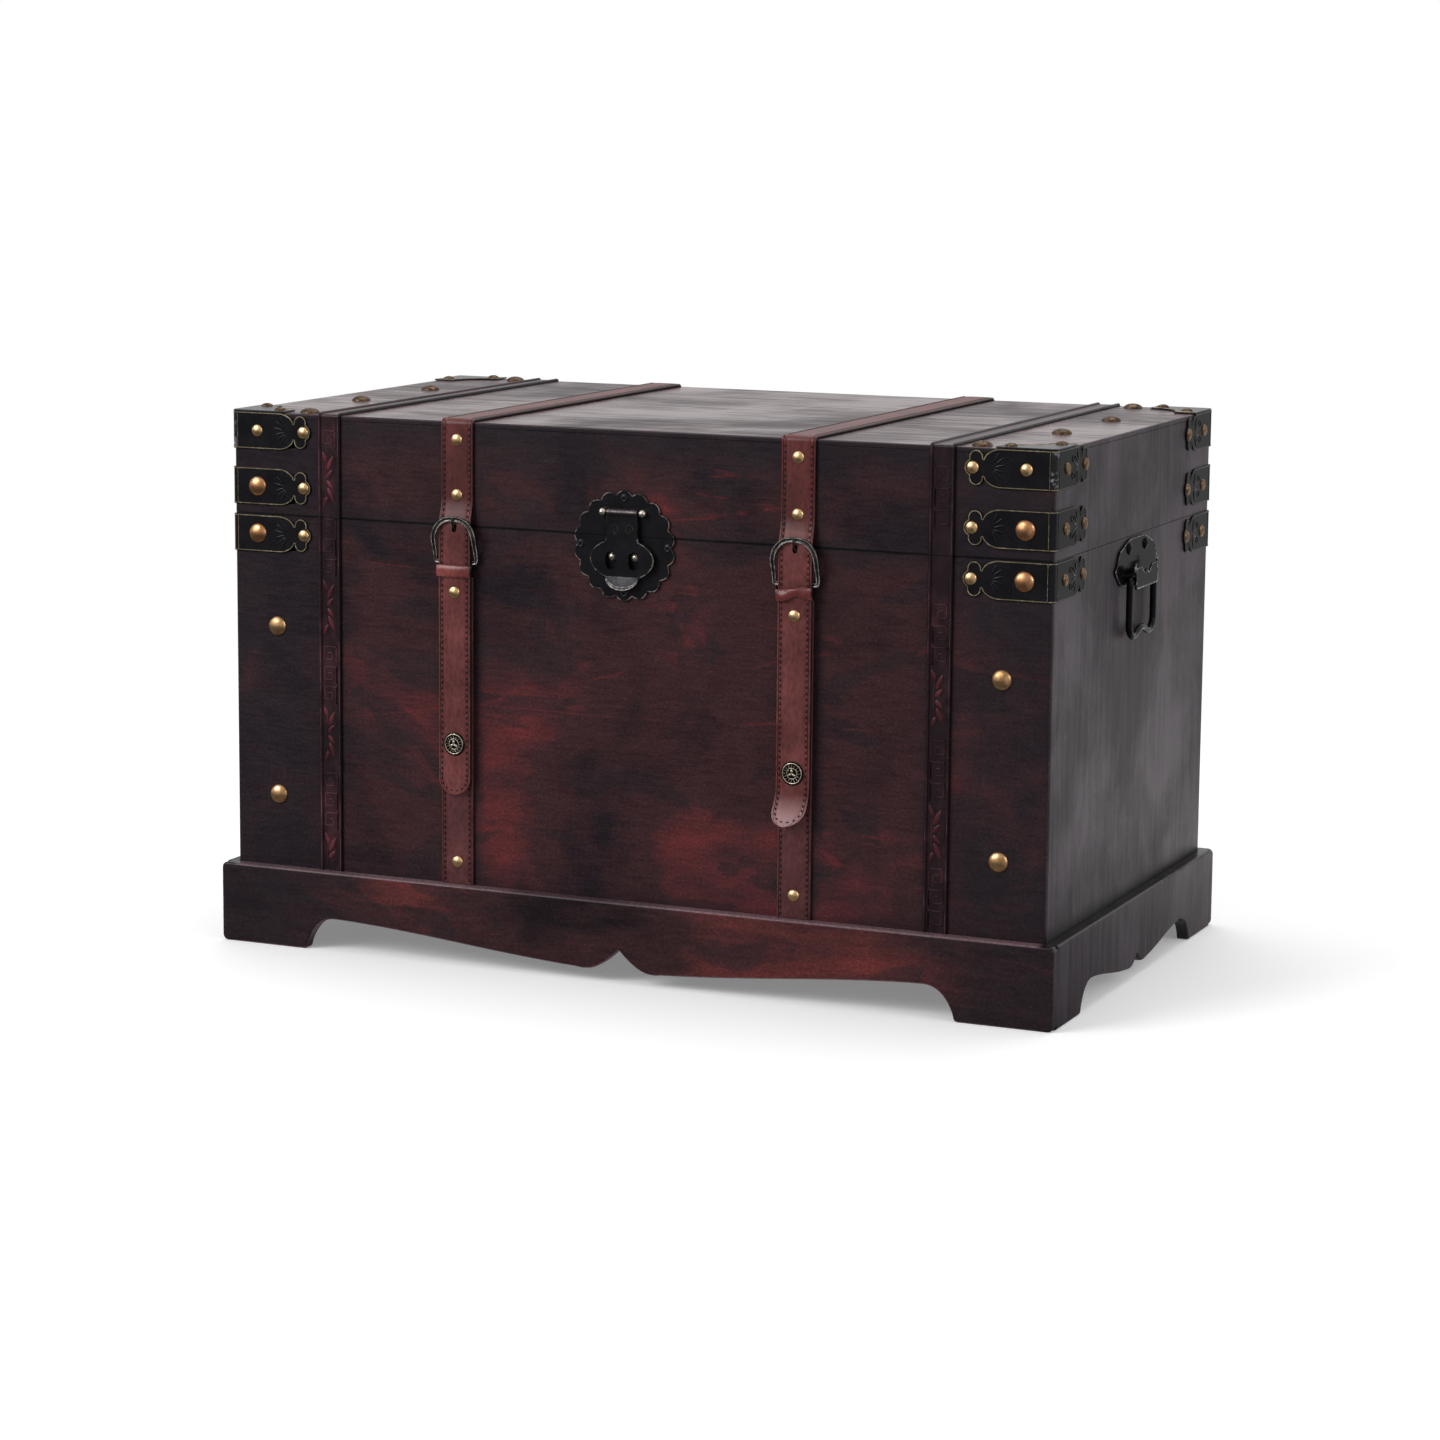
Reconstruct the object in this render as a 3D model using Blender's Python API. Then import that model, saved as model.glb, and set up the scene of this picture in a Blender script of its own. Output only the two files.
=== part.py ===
"""A wooden storage chest with a hinged lid, leather straps, a round hasp and bail handles.

Metres, +Z up. The front faces -Y and the right side faces +X. The origin lies on the floor, under the
middle of the chest.
"""

import math

import bmesh
import bpy
from mathutils import Matrix, Vector

# Clearance between pieces that touch
FIT = 0.0003

# Plinth: four boards whose lower edges are cut into feet, arches and a pointed notch
PLINTH_LENGTH = 0.660
PLINTH_DEPTH = 0.380
PLINTH_HEIGHT = 0.060
PLINTH_BOARD = 0.009
FRONT_FOOT_LENGTH = 0.0730
SIDE_FOOT_LENGTH = 0.0620
FOOT_CURVE = 0.024
LOBE_RISE = 0.0095
FRONT_ARCH_RISE = 0.0245
FRONT_LOBE_REACH = 0.028
FRONT_NOTCH_RISE = 0.0255
SIDE_ARCH_RISE = 0.0205
SIDE_LOBE_REACH = 0.014
SIDE_NOTCH_RISE = 0.0170

# Case and lid
CHEST_HEIGHT = 0.400
LID_HEIGHT = 0.0755
PANEL = 0.010
LID_TOP_BOARD = 0.0035
FLOOR_BOARD = 0.006
CASE_FOOT = 0.030
FLOOR_BOARD_DROP = 0.004

# Embossed trim strips, just inside the corner brackets
TRIM_GAP = 0.0064
TRIM_WIDTH = 0.0185
TRIM_THICKNESS = 0.0014
TRIM_WEB = 0.0009
TRIM_BEAD = 0.0018

# Leather straps
STRAP_CENTRE = 0.1335
STRAP_WIDTH = 0.026
STRAP_THICKNESS = 0.002
CASE_STRAP_DROP = 0.0085
BAND_GAP = 0.003

# Strap tails with buckle, keeper and concho
FLEX_RISE = 0.012
TAIL_STEP = 0.010
TAIL_END_ABOVE_PLINTH = 0.0675
TAIL_TIP_LENGTH = 0.010
TAIL_TIP_HALF_WIDTH = 0.002
TAIL_NAIL_BELOW_SEAM = 0.048
CONCHO_FROM_TIP = 0.0375
CONCHO_RADIUS = 0.0086
CONCHO_RISE = 0.0019
SNAP_POST_RADIUS = 0.005
BUCKLE_PLAY = 0.0013
BUCKLE_BAR = 0.0042
BUCKLE_HEEL_BAR = 0.0028
BUCKLE_FALL = 0.0165
BUCKLE_THICKNESS = 0.0018
BUCKLE_CENTRE_DROP = 0.0110
PRONG_WIDTH = 0.0024
PRONG_PLAY = 0.0008
PRONG_HOLE_LENGTH = 0.0110
PRONG_HOLE_RISE = 0.0015
KEEPER_THICKNESS = 0.0014
KEEPER_HEIGHT = 0.0085

# Corner brackets
BRACKET_LEG = 0.0655
BRACKET_THICKNESS = 0.001
BRACKET_HEIGHT = 0.0275
BRACKET_TIP_LENGTH = 0.0255
TREFOIL_RADIUS = 0.0062
TREFOIL_SPREAD = 0.0056
LOWER_BRACKET_RISE = 0.0068
CASE_BRACKET_DROP = 0.0008
CAP_WING_LEG = 0.0430

# Dome nails
SMALL_NAIL_RADIUS = 0.0045
SMALL_NAIL_RISE = 0.0021
BIG_NAIL_RADIUS = 0.0073
BIG_NAIL_RISE = 0.0034
NAIL_FROM_CORNER = 0.0205
WING_NAIL_INSET = 0.0080
FRONT_NAIL_INSET = 0.0357
FRONT_NAIL_ABOVE_PLINTH = 0.054
FRONT_NAIL_BELOW_SEAM = 0.0835
TOP_NAIL_SIDE_INSET = 0.0385
TOP_NAIL_END_INSET = 0.0127
STRAP_NAIL_ABOVE_PLINTH = 0.0165
STRAP_NAIL_ABOVE_SEAM = 0.0225
STRAP_NAIL_BELOW_TOP = 0.0130
NAIL_SINK = 0.0004

# Hasp
HASP_RADIUS = 0.0400
HASP_LOBES = 16
HASP_LOBE_DEPTH = 0.0030
HASP_CENTRE_DROP = 0.0070
HASP_THICKNESS = 0.0012
HASP_SCREW_INSET = 0.0060
HASP_SCREW_RADIUS = 0.0030
HASP_SCREW_RISE = 0.0006
HASP_AXIS_RISE = 0.0170
HASP_PIN_RADIUS = 0.0012
HASP_BALL_RADIUS = 0.0028
KNUCKLE_WALL = 0.0010
KNUCKLE_PLAY = 0.0009
FLAP_THICKNESS = 0.0012
FLAP_NECK_WIDTH = 0.0240
FLAP_HALF_WIDTH = 0.0252
FLAP_HALF_HEIGHT = 0.0152
FLAP_DISC_DROP = 0.0335
SLOT_SPREAD = 0.0090
SLOT_DROP = 0.0010
SLOT_LENGTH = 0.0050
STUD_RADIUS = 0.0032
STUD_PLAY = 0.0006
TAB_HALF_WIDTH = 0.0130
TAB_LENGTH = 0.0070
TAB_ROOT = 0.0020
TAB_FLARE = 0.0020

# Side handles
HANDLE_CREST_GAP = 0.0015
HANDLE_PLATE_HALF_WIDTH = 0.0500
HANDLE_PLATE_FOOT_HALF_WIDTH = 0.0300
HANDLE_PLATE_CREST_HALF_WIDTH = 0.0125
HANDLE_PLATE_POINT = 0.0060
HANDLE_PLATE_RISE = 0.0295
HANDLE_PLATE_SHOULDER_DROP = 0.0085
HANDLE_PLATE_FALL = 0.0040
HANDLE_PLATE_THICKNESS = 0.0012
HANDLE_NAIL_SPREAD = 0.0190
HANDLE_NAIL_DROP = 0.0070
BAIL_RADIUS = 0.0025
BAIL_PLAY = 0.0009
BAIL_DROP = 0.0405
BAIL_CORNER = 0.0100
BAIL_TOP_CORNER = 0.0030
BAIL_WAVE = 0.0046
EYE_WALL = 0.0010
EYE_HALF_SPREAD = 0.0210
EYE_HALF_LENGTH = 0.0040
CLIP_DROP = 0.0062
CLIP_RISE = 0.0095
CLIP_NOTCH = 0.0055
CLIP_NOTCH_HALF_WIDTH = 0.0110
CLIP_VALLEY_SPREAD = 0.0050

# Back hinges
HINGE_GAP = 0.030
HINGE_HALF_WIDTH = 0.025
HINGE_KNUCKLE_HALF = 0.0085
HINGE_LEAF_HEIGHT = 0.020
HINGE_LEAF_THICKNESS = 0.0012
HINGE_BARREL_RADIUS = 0.0026
HINGE_PIN_RADIUS = 0.0012
HINGE_NOTCH_PLAY = 0.001
HINGE_SCREW_INSET = 0.010

# Worked out from the sizes above
CASE_HALF_LENGTH = PLINTH_LENGTH / 2 - PLINTH_BOARD - FIT
CASE_HALF_DEPTH = PLINTH_DEPTH / 2 - PLINTH_BOARD - FIT
SEAM = CHEST_HEIGHT - LID_HEIGHT
CASE_TOP = SEAM - FIT / 2
LID_FOOT = SEAM + FIT / 2
LID_RIM_TOP = CHEST_HEIGHT - LID_TOP_BOARD - FIT
BRACKET_TIP = CASE_HALF_LENGTH - BRACKET_LEG
TRIM_CENTRE = BRACKET_TIP - TRIM_GAP - TRIM_WIDTH / 2
HINGE_CENTRE = BRACKET_TIP - HINGE_GAP - HINGE_HALF_WIDTH
HINGE_NOTCH = HINGE_BARREL_RADIUS + HINGE_NOTCH_PLAY
BAND_BACK_FOOT = SEAM + HINGE_LEAF_HEIGHT + BAND_GAP
BARREL_STAND_OFF = FIT + HINGE_BARREL_RADIUS
LID_AXIS = Vector((0, CASE_HALF_DEPTH + BARREL_STAND_OFF, SEAM))
PLATE_TOP = FIT + HASP_THICKNESS
HASP_AXIS_STAND_OFF = PLATE_TOP + FIT / 2 + HASP_BALL_RADIUS
HASP_AXIS = Vector((0, -CASE_HALF_DEPTH - HASP_AXIS_STAND_OFF, SEAM + HASP_AXIS_RISE))
FLAP_MIDDLE = HASP_AXIS.z - FLAP_DISC_DROP
FLAP_INNER = HASP_AXIS_STAND_OFF - FIT / 2
FLAP_OUTER = FLAP_INNER + FLAP_THICKNESS
SLOT_MIDDLE = FLAP_MIDDLE - SLOT_DROP
HASP_BALL_SPREAD = FLAP_NECK_WIDTH / 2 + KNUCKLE_PLAY + HASP_BALL_RADIUS
FLEX_HEIGHT = SEAM + FLEX_RISE
TAIL_END = PLINTH_HEIGHT + TAIL_END_ABOVE_PLINTH
CONCHO_HEIGHT = TAIL_END + CONCHO_FROM_TIP
BUCKLE_RADIUS = STRAP_WIDTH / 2 + BUCKLE_PLAY + BUCKLE_BAR
BUCKLE_MIDDLE = SEAM - BUCKLE_CENTRE_DROP
BUCKLE_HEEL = BUCKLE_MIDDLE - BUCKLE_FALL
PRONG_HOLE_FOOT = BUCKLE_MIDDLE + PRONG_HOLE_RISE
STRAP_OUTER = FIT + STRAP_THICKNESS
HEEL_INNER = STRAP_OUTER + FIT
TAIL_INNER = HEEL_INNER + BUCKLE_THICKNESS + FIT
TAIL_OUTER = TAIL_INNER + STRAP_THICKNESS
EYE_INNER_RADIUS = BAIL_RADIUS + FIT
EYE_OUTER_RADIUS = EYE_INNER_RADIUS + EYE_WALL
BAIL_STAND_OFF = FIT + HANDLE_PLATE_THICKNESS + FIT + EYE_OUTER_RADIUS
BAIL_HALF_WIDTH = EYE_HALF_SPREAD + EYE_HALF_LENGTH + BAIL_PLAY + BAIL_RADIUS
HANDLE_CREST = SEAM - HANDLE_CREST_GAP
HANDLE_AXIS_HEIGHT = HANDLE_CREST - HANDLE_PLATE_RISE

# Sides of round pieces, and how a dome narrows to its crown, as shares of its radius and rise
SIDES = 10
BARREL_SIDES = 12
SMALL_SIDES = 8
CONCHO_SIDES = 16
DOME_SHOULDER_WIDTH = 0.72
DOME_SHOULDER_HEIGHT = 0.7
DOME_CROWN_WIDTH = 0.25
SMOOTH_ANGLE = math.radians(35)


class Face:
    """A flat side of the chest: u runs to the right and v upwards as seen from outside."""

    def __init__(self, origin, u, v):
        self.origin = Vector(origin)
        self.u = Vector(u)
        self.v = Vector(v)
        self.out = self.u.cross(self.v)

    def point(self, a, b, stand_off):
        return self.origin + self.u * a + self.v * b + self.out * stand_off


FRONT = Face((0, -CASE_HALF_DEPTH, 0), (1, 0, 0), (0, 0, 1))
BACK = Face((0, CASE_HALF_DEPTH, 0), (-1, 0, 0), (0, 0, 1))
RIGHT = Face((CASE_HALF_LENGTH, 0, 0), (0, 1, 0), (0, 0, 1))
LEFT = Face((-CASE_HALF_LENGTH, 0, 0), (0, -1, 0), (0, 0, 1))
TOP = Face((0, 0, CHEST_HEIGHT), (1, 0, 0), (0, 1, 0))


def clear_scene():
    for thing in list(bpy.data.objects):
        bpy.data.objects.remove(thing, do_unlink=True)


def material(name, colour, roughness, metallic=0.0):
    mat = bpy.data.materials.new(name)
    mat.use_nodes = True
    shader = mat.node_tree.nodes["Principled BSDF"]
    shader.inputs["Base Color"].default_value = (*colour, 1.0)
    shader.inputs["Roughness"].default_value = roughness
    shader.inputs["Metallic"].default_value = metallic
    mat.diffuse_color = (*colour, 1.0)
    return mat


def axis_empty(name, place, parent=None):
    """An empty on a joint's axis, which carries the pieces that turn there."""
    empty = bpy.data.objects.new(name, None)
    empty.empty_display_size = 0.02
    bpy.context.collection.objects.link(empty)
    empty.location = place
    if parent:
        empty.parent = parent
        empty.location = Vector(place) - Vector(parent["place"])
    empty["place"] = tuple(place)
    return empty


def make_object(name, bm, mat, axis=None, smooth=False):
    """Turn a bmesh, drawn where the piece lies in the closed chest, into a named object."""
    origin = Vector(axis["place"]) if axis else Vector((0, 0, 0))
    bmesh.ops.translate(bm, verts=bm.verts, vec=-origin)
    bmesh.ops.recalc_face_normals(bm, faces=bm.faces)
    mesh = bpy.data.meshes.new(name)
    bm.to_mesh(mesh)
    bm.free()
    mesh.materials.append(mat)
    if smooth:
        mesh.shade_smooth()
        mesh.set_sharp_from_angle(angle=SMOOTH_ANGLE)
    thing = bpy.data.objects.new(name, mesh)
    bpy.context.collection.objects.link(thing)
    if axis:
        thing.parent = axis
    return thing


def box(low, high):
    bm = bmesh.new()
    bmesh.ops.create_cube(bm, size=1.0)
    for vert in bm.verts:
        vert.co = Vector((low[i] + (vert.co[i] + 0.5) * (high[i] - low[i]) for i in range(3)))
    return bm


def loft(rings):
    """Join rings of points with quads, and cap the two ends."""
    bm = bmesh.new()
    rows = [[bm.verts.new(point) for point in ring] for ring in rings]
    count = len(rows[0])
    for first, second in zip(rows, rows[1:]):
        for i in range(count):
            j = (i + 1) % count
            bm.faces.new((first[i], first[j], second[j], second[i]))
    bm.faces.new(reversed(rows[0]))
    bm.faces.new(rows[-1])
    return bm


def plate(face, outline, inner, outer):
    """A flat plate with the given outline, between two stand-offs from a face of the chest."""
    return loft([[face.point(a, b, stand_off) for a, b in outline] for stand_off in (inner, outer)])


def disc_outline(a, b, radius, sides):
    turns = [math.tau * i / sides for i in range(sides)]
    return [(a + radius * math.cos(t), b + radius * math.sin(t)) for t in turns]


def dome(face, a, b, base, radius, rise, sides=SIDES):
    """A nail head: a shallow dome, sunk a little below its base so that it joins what it is set in."""
    rings = [
        (radius, base - NAIL_SINK),
        (radius, base),
        (radius * DOME_SHOULDER_WIDTH, base + rise * DOME_SHOULDER_HEIGHT),
        (radius * DOME_CROWN_WIDTH, base + rise),
    ]
    return loft([[face.point(*spot, h) for spot in disc_outline(a, b, r, sides)] for r, h in rings])


def rod(start, end, radius, sides=SIDES):
    """A round bar between two points."""
    turn = (end - start).to_track_quat("Z", "X").to_matrix()
    ring = [turn @ Vector((*spot, 0)) for spot in disc_outline(0, 0, radius, sides)]
    return loft([[start + point for point in ring], [end + point for point in ring]])


def ball(place, radius):
    bm = bmesh.new()
    bmesh.ops.create_uvsphere(bm, u_segments=SIDES, v_segments=6, radius=radius)
    bmesh.ops.translate(bm, verts=bm.verts, vec=place)
    return bm


def combine(name, first, others, mat, axis=None, operation="UNION"):
    """Join solids into one body, or cut them out of it, with exact Booleans."""
    body = make_object(name, first, mat, axis)
    for number, bm in enumerate(others):
        helper = make_object(f"{name}_helper_{number}", bm, mat, axis)
        modifier = body.modifiers.new(f"Join {number}", "BOOLEAN")
        modifier.operation = operation
        modifier.solver = "EXACT"
        modifier.object = helper
    graph = bpy.context.evaluated_depsgraph_get()
    mesh = bpy.data.meshes.new_from_object(body.evaluated_get(graph))
    for modifier in list(body.modifiers):
        helper = modifier.object
        body.modifiers.remove(modifier)
        bpy.data.objects.remove(helper, do_unlink=True)
    body.data = mesh
    mesh.name = name
    return body


def to_bmesh(thing):
    """The solid of an object as a bmesh in world space, so that more can be joined to it."""
    bm = bmesh.new()
    bm.from_mesh(thing.data)
    origin = Vector(thing.parent["place"]) if thing.parent else Vector((0, 0, 0))
    bmesh.ops.translate(bm, verts=bm.verts, vec=origin)
    bpy.data.objects.remove(thing, do_unlink=True)
    return bm


# Plinth


def skirt_outline(length, foot_length, arch_rise, lobe_reach, notch_rise):
    """A plinth board's outline seen from outside: feet, foot curves, long arch, lobes and pointed notch."""
    half = length / 2
    foot_inner = half - foot_length
    steps = 4
    edge = [(foot_inner, 0.0)]
    for i in range(1, steps + 1):
        t = i / steps
        edge.append((foot_inner - FOOT_CURVE * t, arch_rise * math.sin(math.pi / 2 * t)))
    for i in range(steps):
        t = i / steps
        edge.append((lobe_reach * (1 - t), LOBE_RISE + (notch_rise - LOBE_RISE) * t * t))
    outline = [(-half, 0.0)]
    outline += [(-a, b) for a, b in edge]
    outline.append((0.0, notch_rise))
    outline += reversed(edge)
    outline += [(half, 0.0), (half, PLINTH_HEIGHT), (-half, PLINTH_HEIGHT)]
    return outline


def plinth_board(name, side, reach, outline, mat):
    face = Face(side.out * reach, side.u, side.v)
    make_object(name, plate(face, outline, -PLINTH_BOARD, 0.0), mat)


def build_plinth(mat):
    side_length = PLINTH_DEPTH - 2 * (PLINTH_BOARD + FIT)
    side_foot = SIDE_FOOT_LENGTH - PLINTH_BOARD - FIT
    long_edge = skirt_outline(PLINTH_LENGTH, FRONT_FOOT_LENGTH, FRONT_ARCH_RISE, FRONT_LOBE_REACH,
                              FRONT_NOTCH_RISE)
    short_edge = skirt_outline(side_length, side_foot, SIDE_ARCH_RISE, SIDE_LOBE_REACH, SIDE_NOTCH_RISE)
    plinth_board("plinth_front", FRONT, PLINTH_DEPTH / 2, long_edge, mat)
    plinth_board("plinth_back", BACK, PLINTH_DEPTH / 2, long_edge, mat)
    plinth_board("plinth_left", LEFT, PLINTH_LENGTH / 2, short_edge, mat)
    plinth_board("plinth_right", RIGHT, PLINTH_LENGTH / 2, short_edge, mat)


# Case and lid boards


def four_walls(prefix, suffix, low, high, mat, axis=None):
    """Front and back boards over the whole length, with the side boards between them."""
    outer_x, outer_y = CASE_HALF_LENGTH, CASE_HALF_DEPTH
    inner_y = outer_y - PANEL
    side_y = inner_y - FIT
    walls = {
        "front": ((-outer_x, -outer_y), (outer_x, -inner_y)),
        "back": ((-outer_x, inner_y), (outer_x, outer_y)),
        "left": ((-outer_x, -side_y), (PANEL - outer_x, side_y)),
        "right": ((outer_x - PANEL, -side_y), (outer_x, side_y)),
    }
    for side, (near, far) in walls.items():
        make_object(f"{prefix}_{side}{suffix}", box((*near, low), (*far, high)), mat, axis)


def build_boards(mat, lid):
    four_walls("case", "_panel", CASE_FOOT, CASE_TOP, mat)
    four_walls("lid", "_board", LID_FOOT, LID_RIM_TOP, mat, lid)
    inner_x = CASE_HALF_LENGTH - PANEL - FIT
    inner_y = CASE_HALF_DEPTH - PANEL - FIT
    floor_low = CASE_FOOT + FLOOR_BOARD_DROP
    floor_board = box((-inner_x, -inner_y, floor_low), (inner_x, inner_y, floor_low + FLOOR_BOARD))
    make_object("case_bottom_board", floor_board, mat)


def top_nail_places():
    """Four large nails along each end of the lid top, the outer two between a corner cap and the trim."""
    wing_edge = CASE_HALF_LENGTH - CAP_WING_LEG
    trim_edge = TRIM_CENTRE + TRIM_WIDTH / 2
    reach = CASE_HALF_DEPTH - TOP_NAIL_END_INSET
    places = []
    for side in (-1, 1):
        for share in (-1, -1 / 3, 1 / 3, 1):
            outermost = abs(share) == 1
            a = (wing_edge + trim_edge) / 2 if outermost else CASE_HALF_LENGTH - TOP_NAIL_SIDE_INSET
            places.append((side * a, share * reach))
    return places


def build_lid_top(mat, lid):
    top_board = box((-CASE_HALF_LENGTH, -CASE_HALF_DEPTH, CHEST_HEIGHT - LID_TOP_BOARD),
                    (CASE_HALF_LENGTH, CASE_HALF_DEPTH, CHEST_HEIGHT))
    nails = [dome(TOP, a, b, 0.0, BIG_NAIL_RADIUS, BIG_NAIL_RISE) for a, b in top_nail_places()]
    combine("lid_top_board", top_board, nails, mat, lid)


def build_front_nails(mat):
    centre = CASE_HALF_LENGTH - FRONT_NAIL_INSET
    heights = {"lower": PLINTH_HEIGHT + FRONT_NAIL_ABOVE_PLINTH, "upper": SEAM - FRONT_NAIL_BELOW_SEAM}
    for side, a in (("left", -centre), ("right", centre)):
        for level, b in heights.items():
            nail = dome(FRONT, a, b, FIT + NAIL_SINK, BIG_NAIL_RADIUS, BIG_NAIL_RISE)
            make_object(f"front_nail_{side}_{level}", nail, mat, smooth=True)


# Bands over the lid


def lid_band(centre, width, inner, outer, low_front):
    """A strip that runs up the lid's front, over its top and down its back."""
    outline = []
    for reach in (outer, inner):
        y, z = CASE_HALF_DEPTH + reach, CHEST_HEIGHT + reach
        side = [(-y, low_front), (-y, z), (y, z), (y, BAND_BACK_FOOT)]
        outline += side if reach == outer else reversed(side)
    return loft([[(x, y, z) for y, z in outline] for x in (centre - width / 2, centre + width / 2)])


def trim_profile(low, high):
    """The cross-section of a trim strip along its width: a thin web between two raised beads."""
    half = TRIM_WIDTH / 2
    return [(-half, high), (TRIM_BEAD - half, high), (TRIM_BEAD - half, low), (half - TRIM_BEAD, low),
            (half - TRIM_BEAD, high), (half, high)]


def build_trims(mat, lid):
    web, bead = FIT + TRIM_WEB, FIT + TRIM_THICKNESS
    for side, centre in (("left", -TRIM_CENTRE), ("right", TRIM_CENTRE)):
        section = [(centre - TRIM_WIDTH / 2, FIT)]
        section += [(centre + a, h) for a, h in trim_profile(web, bead)]
        section.append((centre + TRIM_WIDTH / 2, FIT))
        ends = (PLINTH_HEIGHT + FIT, CASE_TOP)
        strip = loft([[FRONT.point(a, b, h) for a, h in section] for b in ends])
        make_object(f"case_trim_{side}", strip, mat)
        y, z = CASE_HALF_DEPTH, CHEST_HEIGHT
        stops = [
            lambda h: (-y - h, LID_FOOT),
            lambda h: (-y - h, z + h),
            lambda h: (y + h, z + h),
            lambda h: (y + h, BAND_BACK_FOOT),
        ]
        band = loft([[(a, *stop(h)) for a, h in section] for stop in stops])
        make_object(f"lid_trim_{side}", band, mat, lid)


# Leather straps


def build_straps(mat, lid):
    for side, centre in (("left", -STRAP_CENTRE), ("right", STRAP_CENTRE)):
        half = STRAP_WIDTH / 2
        top = SEAM - CASE_STRAP_DROP
        case_strap = box((centre - half, -CASE_HALF_DEPTH - STRAP_OUTER, PLINTH_HEIGHT + FIT),
                         (centre + half, -CASE_HALF_DEPTH - FIT, top))
        nail_height = PLINTH_HEIGHT + STRAP_NAIL_ABOVE_PLINTH
        nail = dome(FRONT, centre, nail_height, STRAP_OUTER, SMALL_NAIL_RADIUS, SMALL_NAIL_RISE)
        post_outline = disc_outline(centre, CONCHO_HEIGHT, SNAP_POST_RADIUS, SIDES)
        post = plate(FRONT, post_outline, STRAP_OUTER - NAIL_SINK, TAIL_INNER - FIT)
        combine(f"case_strap_{side}", case_strap, [nail, post], mat)
        band = lid_band(centre, STRAP_WIDTH, FIT, STRAP_OUTER, FLEX_HEIGHT + FIT / 2)
        nails = [dome(FRONT, centre, height, STRAP_OUTER, SMALL_NAIL_RADIUS, SMALL_NAIL_RISE)
                 for height in (SEAM + STRAP_NAIL_ABOVE_SEAM, CHEST_HEIGHT - STRAP_NAIL_BELOW_TOP)]
        combine(f"lid_strap_{side}", band, nails, mat, lid)


def tail_solid(centre):
    """The free end of a strap: it steps outwards from the lid strap, hangs flat and has a rounded tip."""
    half = STRAP_WIDTH / 2
    tip_steps = 4
    rows = [(half, FLEX_HEIGHT - FIT / 2, FIT), (half, FLEX_HEIGHT - TAIL_STEP, TAIL_INNER)]
    for i in range(tip_steps):
        t = i / tip_steps
        width = half * math.cos(math.pi / 2 * t)
        rows.append((width, TAIL_END + TAIL_TIP_LENGTH * (1 - math.sin(math.pi / 2 * t)), TAIL_INNER))
    rows.append((TAIL_TIP_HALF_WIDTH, TAIL_END, TAIL_INNER))
    rings = []
    for width, height, inner in rows:
        outer = inner + STRAP_THICKNESS
        rings.append([FRONT.point(centre + a, height, h)
                      for a, h in ((-width, inner), (width, inner), (width, outer), (-width, outer))])
    return loft(rings)


def buckle_solids(centre):
    """A round-topped frame that leans from behind the strap to its front, and the prong."""
    middle, heel = BUCKLE_MIDDLE, BUCKLE_HEEL
    heel_top = heel + BUCKLE_BAR
    front_step = TAIL_OUTER + FIT - HEEL_INNER
    lean_low, lean_high = heel_top + FIT, middle + BUCKLE_RADIUS / 4

    def lean(height):
        t = (height - lean_low) / (lean_high - lean_low)
        return HEEL_INNER + front_step * min(max(t, 0.0), 1.0)

    def loop(radius, foot, foot_half):
        taper = [(radius + (foot_half - radius) * t, middle + (foot - middle) * t)
                 for t in (0.25, 0.6, 1.0)]
        return arc(0.0, middle, radius, 0, 180, 10) + [(-a, b) for a, b in taper] + taper[::-1]

    heel_half = STRAP_WIDTH / 2 + 2 * FIT
    outer_loop = loop(BUCKLE_RADIUS, heel, heel_half + BUCKLE_HEEL_BAR)
    inner_loop = loop(BUCKLE_RADIUS - BUCKLE_BAR, heel_top, heel_half)
    bm = bmesh.new()
    layers = []
    for points in (outer_loop, inner_loop):
        for depth in (0.0, BUCKLE_THICKNESS):
            layers.append([bm.verts.new(FRONT.point(centre + a, b, lean(b) + depth)) for a, b in points])
    outer_back, outer_front, inner_back, inner_front = layers
    count = len(outer_loop)
    for i in range(count):
        j = (i + 1) % count
        bm.faces.new((outer_back[i], outer_back[j], outer_front[j], outer_front[i]))
        bm.faces.new((inner_front[i], inner_front[j], inner_back[j], inner_back[i]))
        bm.faces.new((outer_front[i], outer_front[j], inner_front[j], inner_front[i]))
        bm.faces.new((inner_back[i], inner_back[j], outer_back[j], outer_back[i]))
    arch_inner = middle + BUCKLE_RADIUS - BUCKLE_BAR
    back, front = HEEL_INNER + FIT, TAIL_OUTER + 2 * FIT
    thickness = BUCKLE_THICKNESS - 2 * FIT
    hole_middle = PRONG_HOLE_FOOT + PRONG_HOLE_LENGTH / 2
    run = PRONG_HOLE_LENGTH / 4
    path = [(heel + BUCKLE_BAR / 2, back), (hole_middle - run, back), (hole_middle + run, front),
            (arch_inner + BUCKLE_BAR / 2, front)]
    section = [(b, h) for b, h in path] + [(b, h + thickness) for b, h in reversed(path)]
    edges = (centre - PRONG_WIDTH / 2, centre + PRONG_WIDTH / 2)
    prong = loft([[FRONT.point(a, b, h) for b, h in section] for a in edges])
    return bm, prong


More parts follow.
